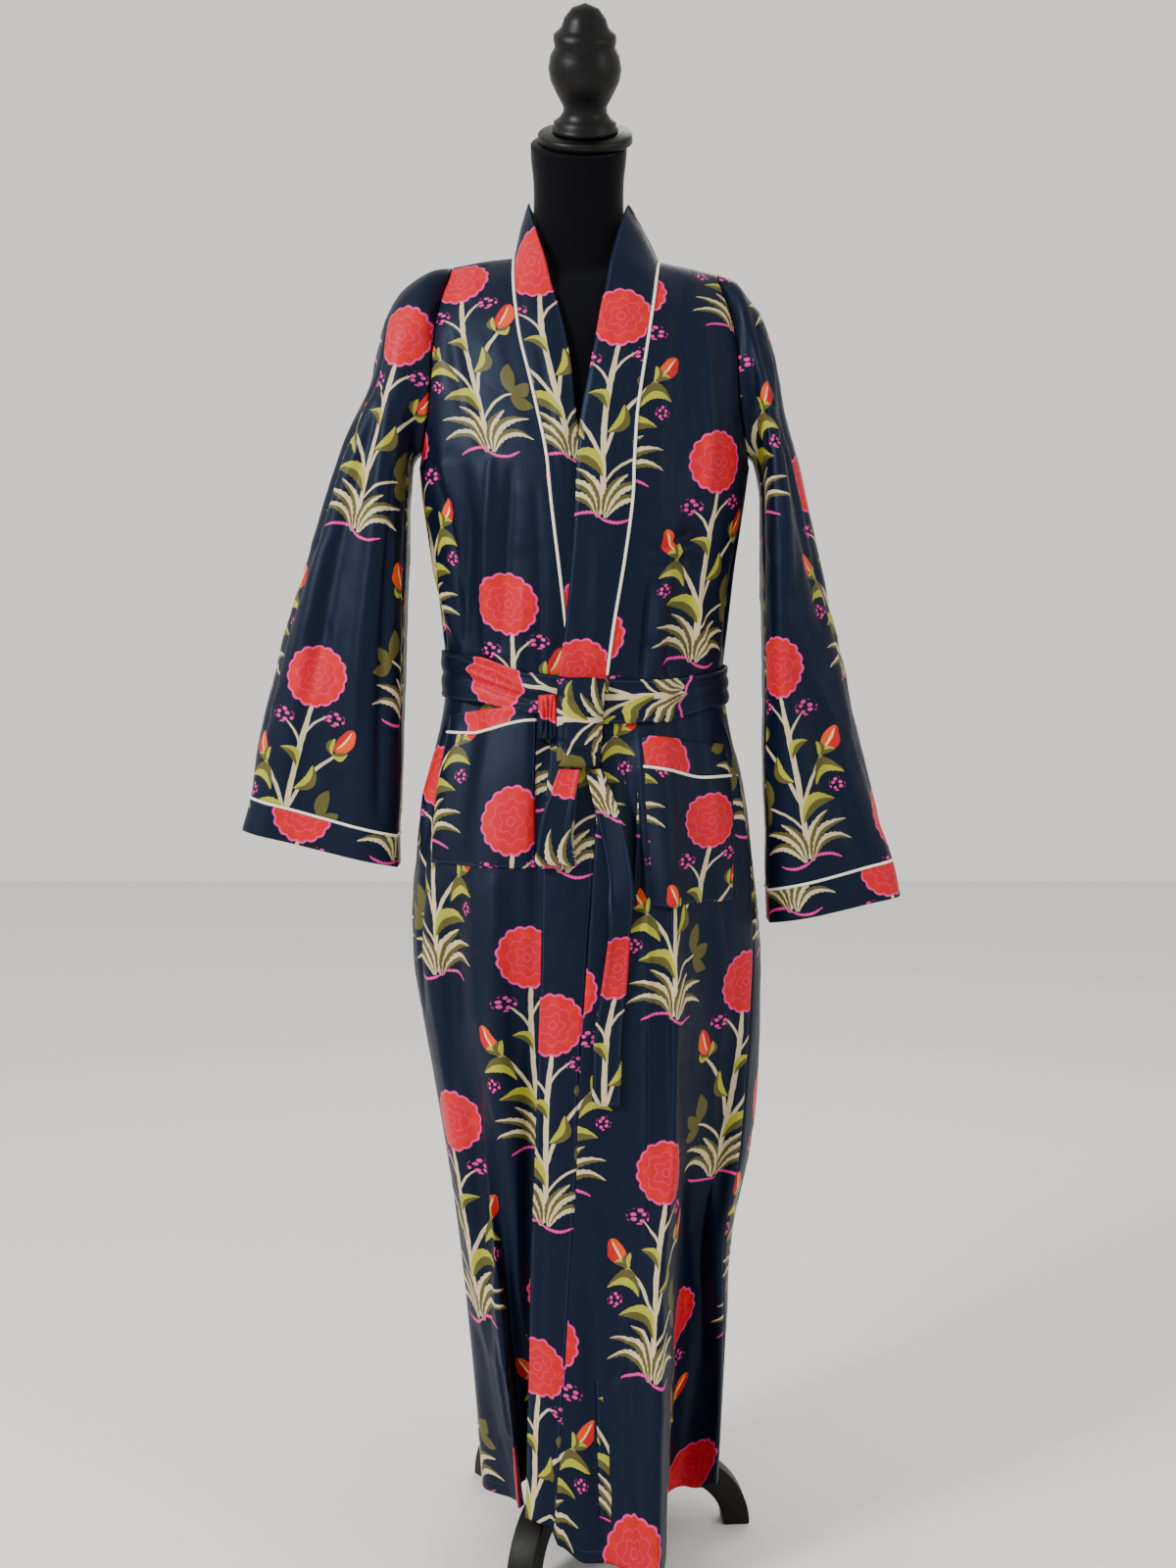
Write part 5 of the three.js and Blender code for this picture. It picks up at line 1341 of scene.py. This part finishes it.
def flowerGroup():  # a round flower of radius 1 with a scalloped edge
    tree, given, made = newGroup("roundFlower", "Vector Color", "Color")
    x, y = separate(given["Vector"])
    turn = maths("ARCTAN2", y, x)
    scallop = maths("ABSOLUTE", maths("SINE", turn * 8))
    radius = length(given["Vector"]) / (scallop * .07 + .93)
    color = mixColor(clamped((1 - radius) / .025), given["Color"], flower["rim"])
    color = mixColor(clamped((.93 - radius) / .02), color, flower["petal"])
    wave = maths("COSINE", turn * 8)
    warm = maths("GREATER_THAN", wave, .35) * .45 * ringLine(radius, .74, .1)
    color = mixColor(warm, color, flower["warm"])
    outer = ringLine(radius, wave * .05 + .6)
    inner = ringLine(radius, maths("COSINE", turn * 5) * .07 + .34)
    lines = maths("MAXIMUM", maths("MAXIMUM", outer, inner), ringLine(radius, .13))
    plug(made["Color"], mixColor(lines * .9, color, flower["line"]))
    return tree


# The print: one plant on a cell of cloth, with every other column half a cell lower and mirrored.
# Places are in metres from the middle of the flower, which is on top.
printCell = {"width": .115, "height": .37, "below": .28, "wobble": .002, "soft": .0006}
flower = {"radius": .034, "petal": linear(184, 22, 28), "warm": linear(198, 46, 18),
          "line": linear(200, 36, 104), "rim": linear(208, 52, 124)}
inks = {
    "navy": linear(6, 16, 34), "stem": linear(188, 172, 136), "olive": linear(82, 77, 36),
    "lime": linear(152, 150, 46), "orange": linear(206, 70, 12), "cream": linear(214, 194, 150),
    "pink": linear(204, 48, 134), "red": linear(176, 30, 22),
}
# ink, second ink, start x, start y, angle, length, bend, half width, point, teeth
strokes = [
    ("stem", None, .002, -.208, 90, .178, .02, .0032, .12, 0),
    ("stem", None, .001, -.17, 120, .082, -.09, .0023, .15, 0),
    ("stem", None, .001, -.146, 60, .08, .09, .0023, .15, 0),
    ("stem", None, .002, -.176, 36, .046, .12, .0017, .15, 0),
    ("stem", None, 0, -.08, 128, .034, -.1, .0016, .2, 0),
    ("stem", None, 0, -.066, 52, .034, .1, .0016, .2, 0),
    ("olive", "lime", -.021, -.131, 168, .036, -.42, .0088, .7, .15),
    ("lime", "olive", 0, -.17, 156, .046, -.3, .0085, .75, .18),
    ("olive", None, .037, -.15, 84, .034, .08, .0075, .9, .22),
    ("olive", None, .036, -.151, 30, .024, -.1, .007, .9, .22),
    ("olive", None, .035, -.152, -32, .026, -.1, .0068, .9, .22),
    ("olive", "lime", .002, -.124, 62, .034, -.24, .0072, .8, .15),
    ("lime", "olive", 0, -.1, 142, .028, -.3, .0056, .8, .15),
    ("stem", "olive", -.004, -.212, 162, .05, -.3, .0042, .55, .45),
    ("stem", "olive", -.003, -.212, 142, .06, -.26, .0046, .55, .45),
    ("stem", "olive", -.002, -.212, 117, .058, -.18, .0044, .55, .45),
    ("stem", "olive", .004, -.212, 65, .05, .18, .0044, .55, .45),
    ("stem", "olive", .005, -.212, 38, .056, .26, .0046, .55, .45),
    ("stem", "olive", .006, -.212, 16, .046, .3, .0042, .55, .45),
    ("pink", None, -.036, -.2135, 9, .036, .12, .0015, .3, .8),
    ("pink", None, -.003, -.2095, -4, .036, -.16, .0015, .3, .8),
    ("orange", "red", -.038, -.1, 122, .032, .06, .0092, .55, .1),
    ("cream", None, -.039, -.097, 122, .026, .05, .0013, .4, 0),
    ("lime", "olive", -.034, -.103, 162, .017, -.2, .0046, .7, .15),
    ("lime", "olive", -.034, -.103, 88, .017, .2, .0046, .7, .15),
    ("orange", "red", .038, -.074, 60, .032, -.06, .0092, .55, .1),
    ("cream", None, .039, -.071, 60, .026, -.05, .0013, .4, 0),
    ("lime", "olive", .035, -.077, 14, .017, -.2, .0046, .7, .15),
    ("lime", "olive", .035, -.077, 92, .017, .2, .0046, .7, .15),
]
floretPlaces = [(-.027, -.048, .014, .009), (.029, -.04, .013, .008), (-.047, -.136, .008, .008)]


def printGroup():
    tree, given, made = newGroup("flowerPrint", "Vector", "Color")
    wobble = noise(given["Vector"], 90, 1, "Color")
    wobble = vectorMaths("SUBTRACT", {0: wobble, 1: (.5, .5, .5)})
    wobble = vectorMaths("SCALE", {0: wobble, "Scale": printCell["wobble"]})
    x, y = separate(vectorMaths("ADD", {0: given["Vector"], 1: wobble}))
    columnPlace = x / printCell["width"]
    column = maths("FLOOR", columnPlace + .5)
    odd = maths("FLOORED_MODULO", column, 2)
    x = (columnPlace - column) * printCell["width"] * (odd * -2 + 1)
    rowPlace = maths("FRACT", odd * .5 + (y + printCell["below"]) / printCell["height"])
    y = rowPlace * printCell["height"] - printCell["below"]
    motif = addNode("ShaderNodeCombineXYZ", 0, {"X": x, "Y": y})
    color = inks["navy"]
    for ink, second, startX, startY, angle, size, bend, width, point, teeth in strokes:
        local = placed(motif, (startX, startY), (size, size), angle)
        shape = usedGroup(brushStroke, Vector=local, Bend=bend, Width=width / size, Point=point,
                          Teeth=teeth, Soft=printCell["soft"] / size)
        fill = inks[ink]
        if second:
            fill = mixColor(maths("GREATER_THAN", shape["Across"], .06), fill, inks[second])
        color = mixColor(shape["Mask"], color, fill)
    for startX, startY, wide, high in floretPlaces:
        local = placed(motif, (startX, startY), (wide, high))
        spots = addNode("ShaderNodeTexVoronoi", "Distance", {"Vector": local, "Scale": 1.6,
                                                             "Randomness": .7}, voronoi_dimensions="2D")
        inside = clamped(length(local) * -9 + 9)
        color = mixColor(clamped(spots * -14 + 5.4) * inside, color, inks["pink"])
    bloom = placed(motif, (0, 0), (flower["radius"], flower["radius"]))
    plug(made["Color"], usedGroup(roundFlower, Vector=bloom, Color=color)["Color"])
    return tree


def weaveGroup():  # threads of a plain weave, and slow unevenness of the dye
    tree, given, made = newGroup("plainWeave", "Vector Color Uneven", "Color Height Roughness")
    slow = noise(given["Vector"], 14, 3)
    threads = noise(stretched(given["Vector"], (1, .08, 1)), 1100)
    plug(made["Height"], noise(given["Vector"], 900) + threads)
    share = clamped(slow * 2 - .5) * given["Uneven"]
    plug(made["Color"], mixColor(share, given["Color"], (.5, .5, .5, 1), "SOFT_LIGHT"))
    plug(made["Roughness"], slow * .16 + .43)
    return tree


def stitchGroup():  # a row of stitches beside a turned edge: where, and how the cloth is stepped
    tree, given, made = newGroup("hemStitches", "Vector", "Thread Height")
    x, y = separate(given["Vector"])
    away = x - hemLine
    line = clamped(maths("ABSOLUTE", away) * -2500 + 1.5)
    dash = clamped(maths("PINGPONG", y, .0016) * 3000 - 1.2)
    plug(made["Thread"], line * dash)
    plug(made["Height"], clamped(away * -1200 + 1) + line * (dash * .7 - 1))
    return tree


def grainGroup():  # long grain of painted wood
    tree, given, made = newGroup("woodGrain", "Vector Scale", "Share Height")
    grain = noise(stretched(given["Vector"], (1, 1, .12)), given["Scale"], 6, Roughness=.65)
    plug(made["Share"], clamped(grain * 2.4 - .75))
    plug(made["Height"], grain)
    return tree


def newMaterial(name, **sockets):
    material = bpy.data.materials.new(name)
    material.use_nodes = True
    shader = material.node_tree.nodes["Principled BSDF"].inputs
    for key, value in sockets.items():
        shader[key.replace("_", " ")].default_value = value
    return material, shader


def uvPlace(shader, layer):
    return addNode("ShaderNodeUVMap", 0, {}, shader[0].id_data, uv_map=layer)


def objectPlace(shader):
    return addNode("ShaderNodeTexCoord", "Object", {}, shader[0].id_data)


def finishShader(shader, color, height, strength, distance, **sockets):
    bump = addNode("ShaderNodeBump", 0, {"Height": height, "Strength": strength, "Distance": distance})
    for key, value in {"Base Color": color, "Normal": bump, **sockets}.items():
        plug(shader[key], value)


def clothMaterial(name, faded):
    material, shader = newMaterial(name, Sheen_Weight=.03, Sheen_Roughness=.35,
                                   Specular_IOR_Level=.22, Specular_Tint=(.6, .74, 1, 1))
    place = uvPlace(shader, "cloth")
    color = usedGroup(flowerPrint, Vector=place)["Color"]
    if faded:
        color = mixColor(faded, color, linear(60, 74, 104))
    woven = usedGroup(plainWeave, Vector=place, Color=color, Uneven=.35)
    sewn = usedGroup(hemStitches, Vector=uvPlace(shader, "hem"))
    color = mixColor(sewn["Thread"] * .5, woven["Color"], linear(52, 62, 92))
    finishShader(shader, color, sewn["Height"] * 3 + woven["Height"], .2, .0004,
                 Roughness=woven["Roughness"])
    return material


def pipingMaterial():
    material, shader = newMaterial("creamPiping", Sheen_Weight=.2)
    woven = usedGroup(plainWeave, Vector=uvPlace(shader, "cloth"), Color=linear(226, 220, 202),
                      Uneven=.3)
    finishShader(shader, woven["Color"], woven["Height"], .3, .0004, Roughness=woven["Roughness"] + .12)
    return material


def velvetMaterial():
    material, shader = newMaterial("blackVelvet", Roughness=.95, Sheen_Weight=.2, Sheen_Roughness=.35,
                                   Specular_IOR_Level=.1)
    place = objectPlace(shader)
    color = mixColor(noise(place, 9), linear(4, 4, 8), linear(14, 14, 22))
    finishShader(shader, color, noise(place, 420, 3), .35, .0008)
    return material


def woodMaterial(name, dark, light, grainScale, roughness):
    material, shader = newMaterial(name, Specular_IOR_Level=.2)
    grain = usedGroup(woodGrain, Vector=objectPlace(shader), Scale=grainScale)
    finishShader(shader, mixColor(grain["Share"], dark, light), grain["Height"], .25, .0006,
                 Roughness=grain["Share"] * .14 + roughness)
    return material


def plainMaterial(name, color, roughness):
    return newMaterial(name, Base_Color=(*color, 1), Roughness=roughness)[0]


brushStroke = strokeGroup()
roundFlower = flowerGroup()
flowerPrint = printGroup()
plainWeave = weaveGroup()
hemStitches = stitchGroup()
woodGrain = grainGroup()
cotton = clothMaterial("printedCotton", 0)
cottonInside = clothMaterial("printedCottonInside", .35)
looks = {
    "printed_cotton": cotton,
    "cream_piping": pipingMaterial(),
    "black_velvet": velvetMaterial(),
    "turned_wood": woodMaterial("turnedWood", linear(4, 4, 5), linear(15, 16, 18), 140, .34),
    "black_wood": woodMaterial("blackWood", linear(5, 5, 5), linear(18, 18, 17), 110, .42),
}
for piece in list(bpy.context.scene.objects):
    if piece.type == "MESH" and "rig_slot" in piece:
        piece.data.materials.clear()
        piece.data.materials.append(looks[piece["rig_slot"]])
        if piece["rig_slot"] == "printed_cotton":
            piece.data.materials.append(cottonInside)
for name in ("pole", "hub"):
    node = frame["nodes"][name]
    for slotIndex in range(len(node.data.materials)):
        node.data.materials[slotIndex] = looks["black_wood"]

print("cloth sheets")
# Each cloth piece, the size of its cut, the cut's share of that rectangle, and its piping. Bands,
# cuffs and the belt are folded double, and their cut is given as folded.
sheets = [
    (frontRight, (.38, 1.4), .57, []),
    (frontLeft, (.33, 1.39), .61, []),
    (back, (.62, 1.37), .79, []),
    (bandRight, (.052, 1.4), .95, [pipingBandRight]),
    (bandLeft, (.05, 1.39), .95, [pipingBandLeft]),
    (bandNeck, (.215, .055), .98, [pipingNeck]),
    (sleeveRight, (.53, .48), .78, [pipingCuffRight]),
    (sleeveLeft, (.56, .47), .81, [pipingCuffLeft]),
    (cuffRight, (.38, .038), 1, []),
    (cuffLeft, (.43, .036), 1, []),
    (pocketRight, (.127, .138), .98, [pipingPocketRight]),
    (pocketLeft, (.13, .148), .98, [pipingPocketLeft]),
    (pocketBandRight, (.127, .046), .76, []),
    (pocketBandLeft, (.126, .032), .62, []),
    (beltWaist, (.88, .049), .95, []),
    (beltWrap, (.05, .222), 1, []),
    (beltKnot, (.022, .118), 1, []),
    (beltTail, (.03, .354), .9, []),
    (beltLoop, (.044, .212), .8, []),
]
for piece, flat, share, cords in sheets:
    flat[0] * flat[1] * share

print("studio")
studio = {"floor": 6, "cameraPlace": (0, -2.2, 1.0), "tilt": 4.2, "focal": 2050, "longSide": 1600}


def floorPiece():
    bm = bmesh.new()
    bmesh.ops.create_grid(bm, x_segments=1, y_segments=1, size=studio["floor"])
    mesh = bpy.data.meshes.new("floor")
    bm.to_mesh(mesh)
    bm.free()
    piece = bpy.data.objects.new("floor", mesh)
    bpy.context.scene.collection.objects.link(piece)
    piece.data.materials.append(plainMaterial("paleFloor", (.8, .79, .77), .6))


floorPiece()
cameraData = bpy.data.cameras.new("camera")
cameraData.sensor_width = 36
cameraData.lens = studio["focal"] * 36 / studio["longSide"]
cameraData.clip_end = 50
camera = bpy.data.objects.new("camera", cameraData)
bpy.context.scene.collection.objects.link(camera)
camera.location = np.array(studio["cameraPlace"]) + shift
camera.rotation_euler = (math.radians(90 - studio["tilt"]), 0, 0)
bpy.context.scene.camera = camera

lamps = [  # name, place, height it looks at, size, power
    ("key", (-2.3, -1.9, 2.5), .9, .9, 122),
    ("fill", (2.4, -1.5, 1.7), .9, 1.2, 14),
    ("rim", (.6, 2.4, 2.8), 1, 1.4, 26),
]
for name, place, height, size, power in lamps:
    light = bpy.data.lights.new(name, "AREA")
    light.shape = "DISK"
    light.size = size
    light.energy = power
    lamp = bpy.data.objects.new(name, light)
    bpy.context.scene.collection.objects.link(lamp)
    lamp.location = place
    way = Vector((0, 0, height)) - Vector(place)
    lamp.rotation_euler = way.to_track_quat("-Z", "Y").to_euler()
world = bpy.data.worlds.new("studioWorld")
bpy.context.scene.world = world
world.use_nodes = True
background = world.node_tree.nodes["Background"].inputs
background["Color"].default_value = (.92, .9, .86, 1)
background["Strength"].default_value = 1.12
